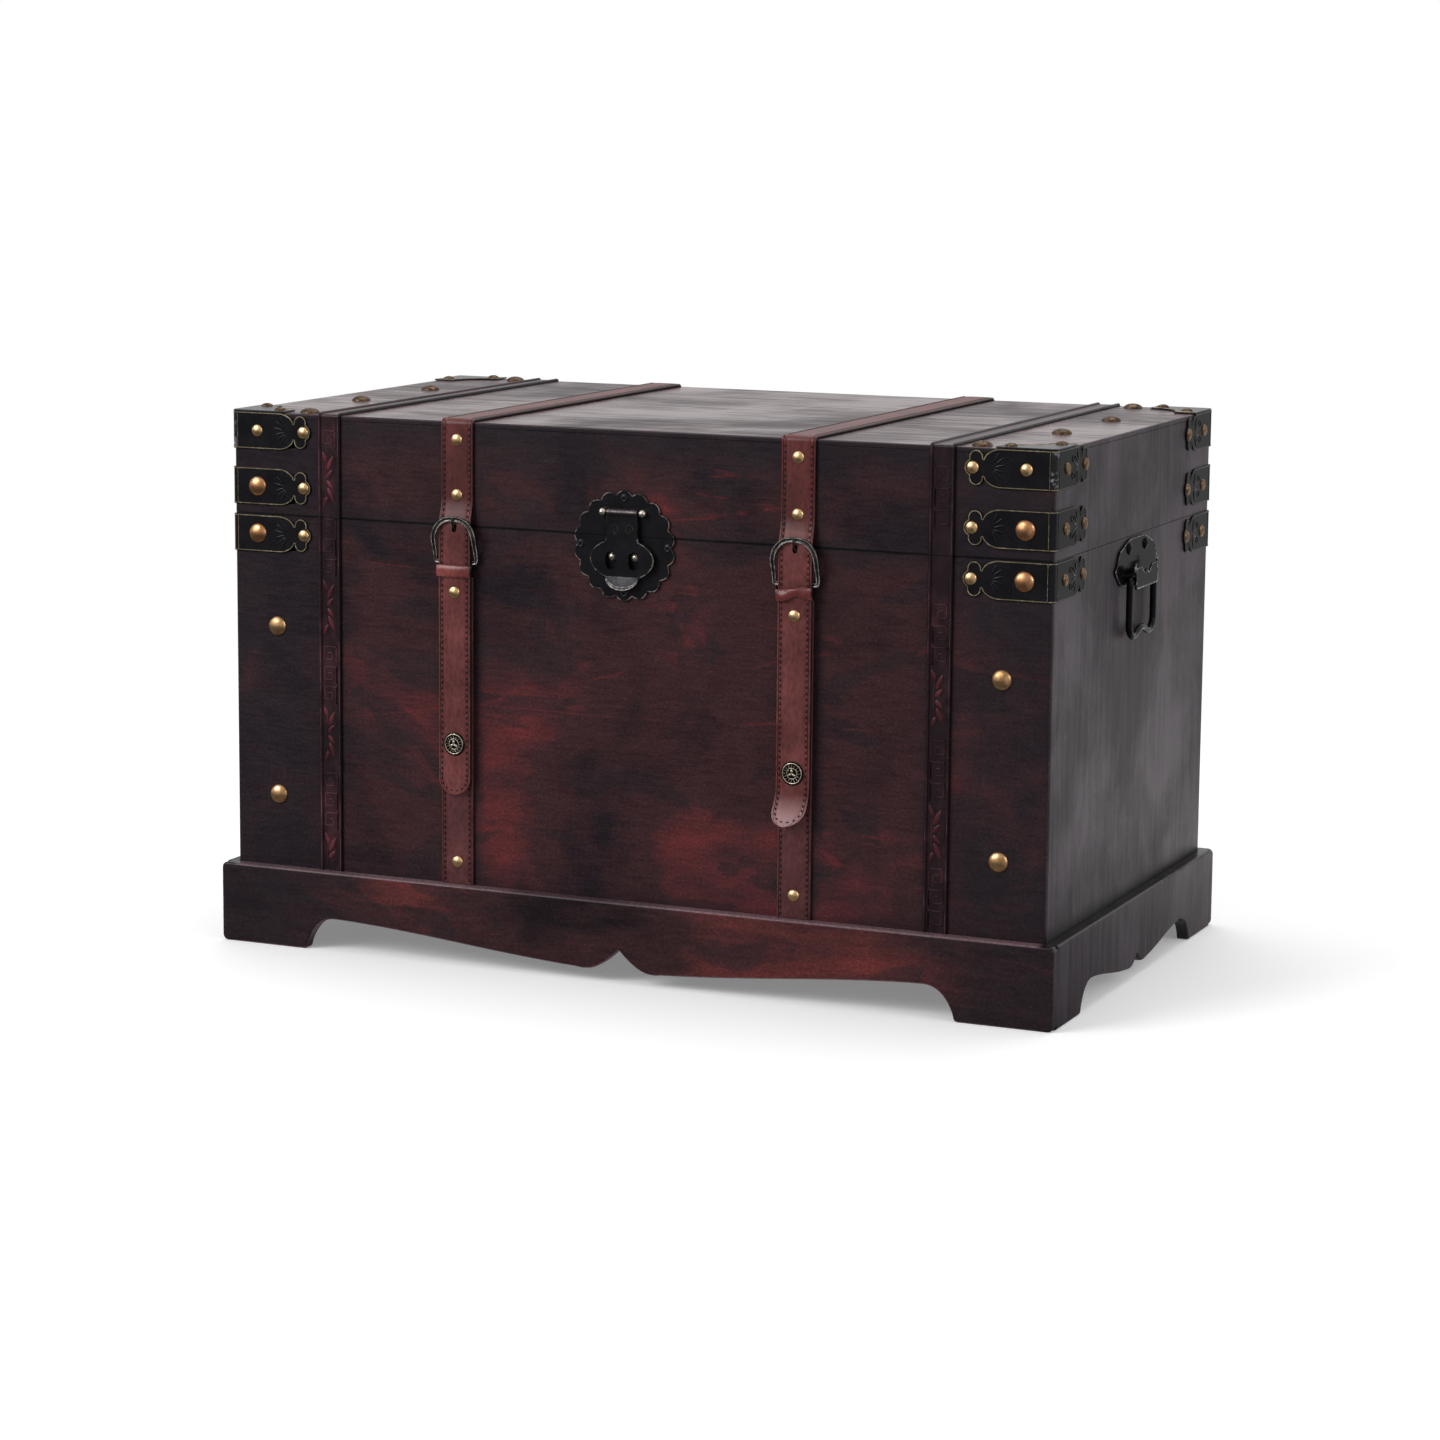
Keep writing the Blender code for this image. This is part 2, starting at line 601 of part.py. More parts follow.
def keeper_solid(centre, top):
    """A leather loop round the tail, drawn as a flat ring."""
    bm = bmesh.new()
    rows = []
    for wall in (KEEPER_THICKNESS, 0.0):
        half = STRAP_WIDTH / 2 + FIT + wall
        low, high = TAIL_INNER - FIT - wall, TAIL_OUTER + FIT + wall
        points = [(-half, low), (half, low), (half, high), (-half, high)]
        for b in (top - KEEPER_HEIGHT, top):
            rows.append([bm.verts.new(FRONT.point(centre + a, b, h)) for a, h in points])
    outer_low, outer_high, inner_low, inner_high = rows
    for i in range(4):
        j = (i + 1) % 4
        bm.faces.new((outer_low[i], outer_low[j], outer_high[j], outer_high[i]))
        bm.faces.new((inner_high[i], inner_high[j], inner_low[j], inner_low[i]))
        bm.faces.new((outer_high[i], outer_high[j], inner_high[j], inner_high[i]))
        bm.faces.new((inner_low[i], inner_low[j], outer_low[j], outer_low[i]))
    return bm


def build_tails(leather, nickel, silver, lid):
    for side, centre in (("left", -STRAP_CENTRE), ("right", STRAP_CENTRE)):
        flex = axis_empty(f"{side}_tail_flex", (centre, -CASE_HALF_DEPTH - STRAP_OUTER, FLEX_HEIGHT), lid)
        hole_half = PRONG_WIDTH / 2 + PRONG_PLAY
        hole = box((centre - hole_half, -CASE_HALF_DEPTH - TAIL_OUTER - STRAP_THICKNESS, PRONG_HOLE_FOOT),
                   (centre + hole_half, -CASE_HALF_DEPTH - STRAP_OUTER, PRONG_HOLE_FOOT + PRONG_HOLE_LENGTH))
        tail = combine(f"strap_tail_{side}", tail_solid(centre), [hole], leather, flex, "DIFFERENCE")
        nail_height = SEAM - TAIL_NAIL_BELOW_SEAM
        nail = dome(FRONT, centre, nail_height, TAIL_OUTER, SMALL_NAIL_RADIUS, SMALL_NAIL_RISE)
        combine(f"strap_tail_{side}", to_bmesh(tail), [nail], leather, flex)
        frame, prong = buckle_solids(centre)
        combine(f"buckle_{side}", frame, [prong], nickel, flex)
        make_object(f"keeper_{side}", keeper_solid(centre, BUCKLE_HEEL - 2 * FIT), leather, flex)
        concho_base = TAIL_OUTER + FIT + NAIL_SINK
        concho = dome(FRONT, centre, CONCHO_HEIGHT, concho_base, CONCHO_RADIUS, CONCHO_RISE, CONCHO_SIDES)
        make_object(f"concho_{side}", concho, silver, flex, smooth=True)


# Corner brackets


def arc(centre_a, centre_b, radius, start, end, steps):
    points = []
    for i in range(steps + 1):
        turn = math.radians(start + (end - start) * i / steps)
        points.append((centre_a + radius * math.cos(turn), centre_b + radius * math.sin(turn)))
    return points


def leg_outline(start, top_extra=0.0):
    """A bracket leg from the corner to its trefoil tip, about its middle line."""
    half = BRACKET_HEIGHT / 2
    shoulder = BRACKET_LEG - BRACKET_TIP_LENGTH
    lobe_a = BRACKET_LEG - TREFOIL_RADIUS - TREFOIL_SPREAD
    lower = [(start, -half), (shoulder, -half)]
    lobe = arc(lobe_a, -TREFOIL_SPREAD, TREFOIL_RADIUS, 165, 345, 5)
    neck_a, neck_b = lobe[0]
    for t in (1 / 3, 2 / 3):
        turn = math.pi / 2 * t
        lower.append((shoulder + (neck_a - shoulder) * math.sin(turn),
                      -half + (half + neck_b) * (1 - math.cos(turn))))
    lower += lobe
    tip = arc(lobe_a + TREFOIL_SPREAD, 0.0, TREFOIL_RADIUS, -60, 60, 4)
    upper = [(a, -b) for a, b in reversed(lower)]
    upper[-2:] = [(shoulder, half + top_extra), (start, half + top_extra)]
    return lower + tip + upper


def bracket_pieces(middle, corner_nail_radius, corner_nail_rise, top_extra=0.0):
    """The front leg, side leg and nails of a bracket at the front right corner."""
    outer = FIT + BRACKET_THICKNESS
    legs = []
    nails = []
    sides = (
        (FRONT, CASE_HALF_LENGTH, -1, -outer, corner_nail_radius, corner_nail_rise),
        (RIGHT, -CASE_HALF_DEPTH, 1, -FIT - BRACKET_THICKNESS / 2, SMALL_NAIL_RADIUS, SMALL_NAIL_RISE),
    )
    for face, corner, inward, start, radius, rise in sides:
        outline = [(corner + inward * a, middle + b) for a, b in leg_outline(start, top_extra)]
        legs.append(plate(face, outline, FIT, outer))
        near = corner + inward * NAIL_FROM_CORNER
        far = corner + inward * (BRACKET_LEG - TREFOIL_RADIUS)
        nails.append(dome(face, near, middle, outer, radius, rise))
        nails.append(dome(face, far, middle, outer, SMALL_NAIL_RADIUS, SMALL_NAIL_RISE))
    return legs, nails


def cap_wing():
    """The wing of a corner cap that folds over the lid's top, with a hollow inner edge and two nails."""
    edge = -FIT - BRACKET_THICKNESS
    leg, tip = CAP_WING_LEG, 2 * WING_NAIL_INSET
    outline = [(edge, edge), (leg, edge)] + arc(leg, leg, leg - tip, 270, 180, 5) + [(edge, leg)]
    outline = [(CASE_HALF_LENGTH - a, b - CASE_HALF_DEPTH) for a, b in outline]
    wing = plate(TOP, outline, FIT, FIT + BRACKET_THICKNESS)
    nails = []
    near, far = WING_NAIL_INSET, CAP_WING_LEG - WING_NAIL_INSET
    for a, b in ((far, near), (near, far)):
        nails.append(dome(TOP, CASE_HALF_LENGTH - a, b - CASE_HALF_DEPTH, FIT + BRACKET_THICKNESS,
                          SMALL_NAIL_RADIUS, SMALL_NAIL_RISE, SMALL_SIDES))
    return wing, nails


def mirrored(bm, flip_x, flip_y):
    """A copy of a solid drawn at the front right corner, mirrored to another corner."""
    copy = bm.copy()
    scale = Matrix.Diagonal((-1 if flip_x else 1, -1 if flip_y else 1, 1, 1))
    bmesh.ops.transform(copy, matrix=scale, verts=copy.verts)
    return copy


def at_four_corners(name, solids, mat, axis=None):
    for end, flip_y in (("front", False), ("back", True)):
        for side, flip_x in (("right", False), ("left", True)):
            first, *others = [mirrored(bm, flip_x, flip_y) for bm in solids]
            combine(f"{name}_{end}_{side}", first, others, mat, axis)
    for bm in solids:
        bm.free()


def build_brackets(mat, lid):
    half = BRACKET_HEIGHT / 2
    legs, nails = bracket_pieces(CHEST_HEIGHT - half, SMALL_NAIL_RADIUS, SMALL_NAIL_RISE,
                                 FIT + BRACKET_THICKNESS / 2)
    wing, wing_nails = cap_wing()
    at_four_corners("lid_cap", [*legs, wing, *nails, *wing_nails], mat, lid)
    legs, nails = bracket_pieces(SEAM + LOWER_BRACKET_RISE + half, BIG_NAIL_RADIUS, BIG_NAIL_RISE)
    at_four_corners("lid_bracket", [*legs, *nails], mat, lid)
    legs, nails = bracket_pieces(SEAM - CASE_BRACKET_DROP - half, BIG_NAIL_RADIUS, BIG_NAIL_RISE)
    at_four_corners("case_bracket", [*legs, *nails], mat)


# Hasp


def scalloped_outline(upper):
    """One part of the round plate, with a lobed edge, cut along the seam between lid and case."""
    centre = SEAM - HASP_CENTRE_DROP
    chord = LID_FOOT if upper else CASE_TOP
    cut = math.asin((chord - centre) / HASP_RADIUS)
    start, end = (cut, math.pi - cut) if upper else (math.pi - cut, math.tau + cut)
    steps = round((end - start) / math.tau * HASP_LOBES * 4)
    outline = []
    for i in range(steps + 1):
        turn = start + (end - start) * i / steps
        radius = HASP_RADIUS - HASP_LOBE_DEPTH * (1 - abs(math.cos(turn * HASP_LOBES / 2)))
        b = centre + radius * math.sin(turn)
        outline.append((radius * math.cos(turn), max(b, chord) if upper else min(b, chord)))
    return outline


def build_hasp(mat, lid):
    """The two halves of the round plate with their screws, and the studs behind the flap's slots."""
    centre = SEAM - HASP_CENTRE_DROP
    screw = (HASP_SCREW_RADIUS, HASP_SCREW_RISE)
    reach = HASP_RADIUS - HASP_SCREW_INSET
    upper = plate(FRONT, scalloped_outline(True), FIT, PLATE_TOP)
    upper_screw = dome(FRONT, 0, centre + reach, PLATE_TOP, *screw, SMALL_SIDES)
    combine("hasp_plate_upper", upper, [upper_screw], mat, lid)
    lower = plate(FRONT, scalloped_outline(False), FIT, PLATE_TOP)
    screws = [dome(FRONT, a, b, PLATE_TOP, *screw, SMALL_SIDES)
              for a, b in ((-reach, centre), (reach, centre), (0, centre - reach))]
    stud_b = SLOT_MIDDLE + SLOT_LENGTH / 2
    studs = [dome(FRONT, side * SLOT_SPREAD, stud_b, PLATE_TOP, STUD_RADIUS, FLAP_INNER - FIT - PLATE_TOP)
             for side in (-1, 1)]
    combine("hasp_plate_lower", lower, [*screws, *studs], mat)


def build_hasp_flap(mat, pin_mat, lid):
    axis = axis_empty("hasp_flap_axis", HASP_AXIS, lid)
    shift = Vector((HASP_BALL_SPREAD, 0, 0))
    pin = rod(HASP_AXIS - shift, HASP_AXIS + shift, HASP_PIN_RADIUS, SMALL_SIDES)
    balls = [ball(HASP_AXIS + shift * side, HASP_BALL_RADIUS) for side in (-1, 1)]
    combine("hasp_pin", pin, balls, pin_mat, lid)
    neck = FLAP_NECK_WIDTH / 2
    flatness = FLAP_HALF_HEIGHT / FLAP_HALF_WIDTH
    join = math.degrees(math.acos(neck / FLAP_HALF_WIDTH))
    outline = [(neck, HASP_AXIS.z), (-neck, HASP_AXIS.z)]
    rim = arc(0.0, 0.0, FLAP_HALF_WIDTH, 180 - join, 360 + join, 18)
    outline += [(a, FLAP_MIDDLE + b * flatness) for a, b in rim]
    disc = plate(FRONT, outline, FLAP_INNER, FLAP_OUTER)
    half_pin = Vector((neck, 0, 0))
    bore_radius = HASP_PIN_RADIUS + FIT
    knuckle = rod(HASP_AXIS - half_pin, HASP_AXIS + half_pin, bore_radius + KNUCKLE_WALL, BARREL_SIDES)
    tab_top = FLAP_MIDDLE - flatness * math.sqrt(FLAP_HALF_WIDTH ** 2 - TAB_HALF_WIDTH ** 2)
    tab_low = FLAP_MIDDLE - FLAP_HALF_HEIGHT - TAB_LENGTH
    tab_edge = [(TAB_HALF_WIDTH * math.cos(t), tab_top + (tab_low - tab_top) * math.sin(t))
                for t in (math.pi * i / 8 for i in range(9))]
    tab_root = [(-TAB_HALF_WIDTH, tab_top + TAB_ROOT), (TAB_HALF_WIDTH, tab_top + TAB_ROOT)]
    rows = []
    for thickness in (0.0, FLAP_THICKNESS):
        row = []
        for a, b in tab_edge + tab_root:
            flare = TAB_FLARE * (tab_top - b) / (tab_top - tab_low)
            row.append(FRONT.point(a, b, FLAP_INNER + thickness + flare))
        rows.append(row)
    tab = loft(rows)
    flap = combine("hasp_flap", disc, [knuckle, tab], mat, axis)
    cuts = [rod(HASP_AXIS - 2 * half_pin, HASP_AXIS + 2 * half_pin, bore_radius, SIDES)]
    for side in (-1, 1):
        radius = STUD_RADIUS + STUD_PLAY
        slot = arc(side * SLOT_SPREAD, SLOT_MIDDLE + SLOT_LENGTH / 2, radius, 0, 180, 6)
        slot += arc(side * SLOT_SPREAD, SLOT_MIDDLE - SLOT_LENGTH / 2, radius, 180, 360, 6)
        cuts.append(plate(FRONT, slot, FLAP_INNER - FLAP_THICKNESS, FLAP_OUTER + FLAP_THICKNESS))
    combine("hasp_flap", to_bmesh(flap), cuts, mat, axis, "DIFFERENCE")


# Side handles


def handle_plate_outline():
    """A plate with a flat foot, pointed ends, and a top edge that rises to a broad crest."""
    foot, crest = HANDLE_AXIS_HEIGHT - HANDLE_PLATE_FALL, HANDLE_CREST
    shoulder = crest - HANDLE_PLATE_SHOULDER_DROP
    middle = (foot + shoulder) / 2
    shoulder_half = HANDLE_PLATE_HALF_WIDTH - HANDLE_PLATE_POINT
    right = [
        (HANDLE_PLATE_FOOT_HALF_WIDTH, foot),
        (shoulder_half, (foot + middle) / 2),
        (HANDLE_PLATE_HALF_WIDTH, middle),
        (shoulder_half, shoulder),
        ((shoulder_half + HANDLE_PLATE_CREST_HALF_WIDTH) / 2, (shoulder + crest) / 2),
        (HANDLE_PLATE_CREST_HALF_WIDTH, crest),
    ]
    return right + [(-a, b) for a, b in reversed(right)]


def bail_points(face):
    """The middle line of a bail: a straight top bar, round corners, two arms and a waved bottom."""
    top, bottom = 0.0, -BAIL_DROP
    half, corner, top_corner = BAIL_HALF_WIDTH, BAIL_CORNER, BAIL_TOP_CORNER
    points = [(-half + top_corner, top), (half - top_corner, top)]
    points += arc(half - top_corner, top - top_corner, top_corner, 60, 0, 2)
    points += arc(half - corner, bottom + corner, corner, 0, -90, 4)
    wave_steps = 6
    span = half - corner
    for i in range(1, wave_steps):
        t = i / wave_steps
        points.append((span * (1 - 2 * t), bottom + BAIL_WAVE * math.sin(math.pi * t) ** 2))
    points += arc(corner - half, bottom + corner, corner, -90, -180, 4)
    points += arc(top_corner - half, top - top_corner, top_corner, 180, 120, 2)
    return [face.point(a, HANDLE_AXIS_HEIGHT + b, BAIL_STAND_OFF) for a, b in points]


def bail(name, face, axis, mat):
    """A round bar bent along the bail's middle line, which closes on itself."""
    curve = bpy.data.curves.new(name, "CURVE")
    curve.dimensions = "3D"
    curve.bevel_depth = BAIL_RADIUS
    curve.bevel_resolution = 1
    points = bail_points(face)
    spline = curve.splines.new("POLY")
    spline.points.add(len(points) - 1)
    origin = Vector(axis["place"])
    for slot, place in zip(spline.points, points):
        slot.co = (*(place - origin), 1.0)
    spline.use_cyclic_u = True
    curve.materials.append(mat)
    thing = bpy.data.objects.new(name, curve)
    bpy.context.collection.objects.link(thing)
    thing.parent = axis


def clip_solids(face):
    """Two eyes round the bail's top bar, joined in front by a plate with a notched upper edge."""
    height, reach = HANDLE_AXIS_HEIGHT, EYE_HALF_SPREAD
    eyes, bores = [], []
    for side in (-1, 1):
        low, high = side * reach - EYE_HALF_LENGTH, side * reach + EYE_HALF_LENGTH
        start, end = face.point(low, height, BAIL_STAND_OFF), face.point(high, height, BAIL_STAND_OFF)
        eyes.append(rod(start, end, EYE_OUTER_RADIUS, BARREL_SIDES))
        along = (end - start).normalized() * EYE_WALL
        bores.append(rod(start - along, end + along, EYE_INNER_RADIUS, BARREL_SIDES))
    half = reach + EYE_HALF_LENGTH
    low, high = height - CLIP_DROP, height + CLIP_RISE
    notch = high - CLIP_NOTCH
    right = [(half, low), (half, high), (CLIP_NOTCH_HALF_WIDTH, high), (CLIP_VALLEY_SPREAD, notch)]
    left = [(-a, b) for a, b in reversed(right)]
    outline = [*right, (0, high - CLIP_NOTCH / 2), *left]
    front = plate(face, outline, BAIL_STAND_OFF + EYE_INNER_RADIUS, BAIL_STAND_OFF + EYE_OUTER_RADIUS)
    return eyes, bores, front


def build_handles(mat):
    for side, face in (("left", LEFT), ("right", RIGHT)):
        outer = FIT + HANDLE_PLATE_THICKNESS
        nails = [dome(face, a, HANDLE_CREST - HANDLE_NAIL_DROP, outer, SMALL_NAIL_RADIUS, SMALL_NAIL_RISE)
                 for a in (-HANDLE_NAIL_SPREAD, HANDLE_NAIL_SPREAD)]
        combine(f"handle_plate_{side}", plate(face, handle_plate_outline(), FIT, outer), nails, mat)
        eyes, bores, front = clip_solids(face)
        clip = combine(f"handle_clip_{side}", front, eyes, mat)
        combine(f"handle_clip_{side}", to_bmesh(clip), bores, mat, operation="DIFFERENCE")
        axis = axis_empty(f"{side}_handle_axis", face.point(0, HANDLE_AXIS_HEIGHT, BAIL_STAND_OFF))
        bail(f"handle_bail_{side}", face, axis, mat)


# Back hinges


def hinge_leaf(centre, upward):
    """A leaf on the lid's or the case's back, cut away where the other leaf's knuckles turn."""
    direction = 1 if upward else -1
    reach = SEAM + direction * HINGE_LEAF_HEIGHT
    notch = SEAM + direction * HINGE_NOTCH
    half, knuckle = HINGE_HALF_WIDTH, HINGE_KNUCKLE_HALF
    root = SEAM + direction * FIT
    if upward:
        edge = [(-half, notch), (FIT - knuckle, notch), (FIT - knuckle, root), (knuckle - FIT, root),
                (knuckle - FIT, notch), (half, notch)]
    else:
        edge = [(-half, root), (-knuckle - FIT, root), (-knuckle - FIT, notch), (knuckle + FIT, notch),
                (knuckle + FIT, root), (half, root)]
    outline = [(centre + a, b) for a, b in edge + [(half, reach), (-half, reach)]]
    return plate(BACK, outline, FIT, FIT + HINGE_LEAF_THICKNESS)


def barrel(centre, start, end, radius, sides):
    ends = [BACK.point(centre + reach, SEAM, BARREL_STAND_OFF) for reach in (start, end)]
    return rod(*ends, radius, sides)


def build_hinges(mat, lid):
    half, knuckle = HINGE_HALF_WIDTH, HINGE_KNUCKLE_HALF
    screw_height = (HINGE_NOTCH + HINGE_LEAF_HEIGHT) / 2
    for side, centre in (("left", HINGE_CENTRE), ("right", -HINGE_CENTRE)):
        screws = {}
        for direction in (-1, 1):
            screws[direction] = [
                dome(BACK, centre + a, SEAM + direction * screw_height, FIT + HINGE_LEAF_THICKNESS,
                     HASP_SCREW_RADIUS, HASP_SCREW_RISE, SMALL_SIDES)
                for a in (HINGE_SCREW_INSET - half, half - HINGE_SCREW_INSET)]
        outer_barrels = [barrel(centre, -half, -knuckle - FIT, HINGE_BARREL_RADIUS, BARREL_SIDES),
                         barrel(centre, knuckle + FIT, half, HINGE_BARREL_RADIUS, BARREL_SIDES)]
        pin = barrel(centre, FIT - half, half - FIT, HINGE_PIN_RADIUS, SMALL_SIDES)
        case_leaf = hinge_leaf(centre, False)
        combine(f"case_hinge_leaf_{side}", case_leaf, [*outer_barrels, pin, *screws[-1]], mat)
        middle_barrel = barrel(centre, FIT - knuckle, knuckle - FIT, HINGE_BARREL_RADIUS, BARREL_SIDES)
        name = f"lid_hinge_leaf_{side}"
        leaf = combine(name, hinge_leaf(centre, True), [middle_barrel, *screws[1]], mat, lid)
        bore = barrel(centre, -knuckle - FIT, knuckle + FIT, HINGE_PIN_RADIUS + FIT, SIDES)
        combine(name, to_bmesh(leaf), [bore], mat, lid, "DIFFERENCE")


def build_chest():
    clear_scene()
    wood = material("oxblood_wood", (0.075, 0.030, 0.032), 0.45)
    dark_wood = material("dark_wood", (0.060, 0.026, 0.028), 0.5)
    trim = material("embossed_trim", (0.110, 0.028, 0.028), 0.45)
    leather = material("oxblood_leather", (0.120, 0.035, 0.036), 0.5)
    black_metal = material("black_metal", (0.018, 0.020, 0.024), 0.35, 1.0)
    nickel = material("dark_nickel", (0.150, 0.140, 0.135), 0.3, 1.0)
    silver = material("antique_silver", (0.360, 0.310, 0.240), 0.35, 1.0)
    brass = material("copper_brass", (0.520, 0.270, 0.110), 0.35, 1.0)
    lid = axis_empty("lid_hinge_axis", LID_AXIS)
    build_plinth(dark_wood)
    build_boards(wood, lid)
    build_lid_top(wood, lid)
    build_front_nails(brass)
    build_trims(trim, lid)
    build_straps(leather, lid)
    build_tails(leather, nickel, silver, lid)
    build_brackets(black_metal, lid)
    build_hasp(black_metal, lid)
    build_hasp_flap(black_metal, nickel, lid)
    build_handles(black_metal)
    build_hinges(black_metal, lid)


build_chest()
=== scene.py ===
"""A wooden storage chest with leather straps, corner brackets, a round hasp and bail handles.

Metres, +Z up. The front faces -Y and the right side faces +X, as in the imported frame.
"""

import math
import random

import bmesh
import bpy
from mathutils import Euler, Matrix, Vector


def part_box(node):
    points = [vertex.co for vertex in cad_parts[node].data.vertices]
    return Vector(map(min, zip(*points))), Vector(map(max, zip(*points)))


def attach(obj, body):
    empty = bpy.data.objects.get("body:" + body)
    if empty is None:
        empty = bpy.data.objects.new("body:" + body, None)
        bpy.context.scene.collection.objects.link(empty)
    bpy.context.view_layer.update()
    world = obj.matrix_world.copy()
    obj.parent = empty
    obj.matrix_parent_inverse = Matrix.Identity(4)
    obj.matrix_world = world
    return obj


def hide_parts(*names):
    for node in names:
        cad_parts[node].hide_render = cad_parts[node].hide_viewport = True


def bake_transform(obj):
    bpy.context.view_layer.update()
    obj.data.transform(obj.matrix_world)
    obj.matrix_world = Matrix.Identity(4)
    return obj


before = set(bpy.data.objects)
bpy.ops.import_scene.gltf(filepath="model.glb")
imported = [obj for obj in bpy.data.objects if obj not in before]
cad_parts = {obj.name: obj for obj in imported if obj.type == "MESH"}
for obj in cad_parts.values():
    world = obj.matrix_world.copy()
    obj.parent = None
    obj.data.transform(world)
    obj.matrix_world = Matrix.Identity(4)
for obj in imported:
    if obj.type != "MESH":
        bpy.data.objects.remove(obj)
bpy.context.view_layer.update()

# Sizes read from the frame
CASE_LOW, CASE_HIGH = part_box("case_front_panel")
TOP_LOW, TOP_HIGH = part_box("lid_top_board")
PLINTH_LOW, PLINTH_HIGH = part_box("plinth_front")
HALF_LENGTH = CASE_HIGH.x
HALF_DEPTH = -CASE_LOW.y
SEAM = (CASE_HIGH.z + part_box("lid_front_board")[0].z) / 2
LID_TOP = TOP_LOW.z + 0.0035
PLINTH_TOP = PLINTH_HIGH.z
PLINTH_HALF_LENGTH = PLINTH_HIGH.x
PLINTH_HALF_DEPTH = -PLINTH_LOW.y
PLINTH_BOARD = PLINTH_HIGH.y - PLINTH_LOW.y
STRIP_LOW, STRIP_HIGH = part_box("case_trim_right")
STRIP_CENTRE = (STRIP_LOW.x + STRIP_HIGH.x) / 2
STRIP_HALF = (STRIP_HIGH.x - STRIP_LOW.x) / 2
STRAP_LOW, STRAP_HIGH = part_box("case_strap_right")
STRAP_CENTRE = (STRAP_LOW.x + STRAP_HIGH.x) / 2
STRAP_HALF = (STRAP_HIGH.x - STRAP_LOW.x) / 2
TAIL_LOW, TAIL_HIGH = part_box("strap_tail_right")
TAIL_END = TAIL_LOW.z

# The air left where a piece lies on another, and how far the boards are rounded
FIT = 0.0003
CORNER_RADIUS = 0.0030
TOP_EDGE = 0.0011

# Thickness of the hasp's, handles' and hinges' sheet metal, and reach of a corner cap's wing on the lid
SHEET = 0.0012
WING_LEG = 0.0430


class Face:
    """A flat side of the chest: a runs to the right and b upwards as seen from outside."""

    def __init__(self, origin, u, v):
        self.origin = Vector(origin)
        self.u = Vector(u)
        self.v = Vector(v)
        self.out = self.u.cross(self.v)

    def point(self, a, b, height=0.0):
        return self.origin + self.u * a + self.v * b + self.out * height

    def matrix(self, a, b, height=0.0, turn=0.0):
        """Carries a piece drawn flat, facing +Z, to its place on this face."""
        turned = Matrix.Rotation(turn, 3, "Z")
        grid = Matrix((self.u, self.v, self.out)).transposed() @ turned
        return Matrix.Translation(self.point(a, b, height)) @ grid.to_4x4()


FRONT = Face((0, -HALF_DEPTH, 0), (1, 0, 0), (0, 0, 1))
BACK = Face((0, HALF_DEPTH, 0), (-1, 0, 0), (0, 0, 1))
RIGHT = Face((HALF_LENGTH, 0, 0), (0, 1, 0), (0, 0, 1))
LEFT = Face((-HALF_LENGTH, 0, 0), (0, -1, 0), (0, 0, 1))
TOP = Face((0, 0, LID_TOP), (1, 0, 0), (0, 1, 0))
LONG_FACES = (("front", FRONT), ("back", BACK))
END_FACES = (("left", LEFT), ("right", RIGHT))
SIDES = (("left", -1), ("right", 1))


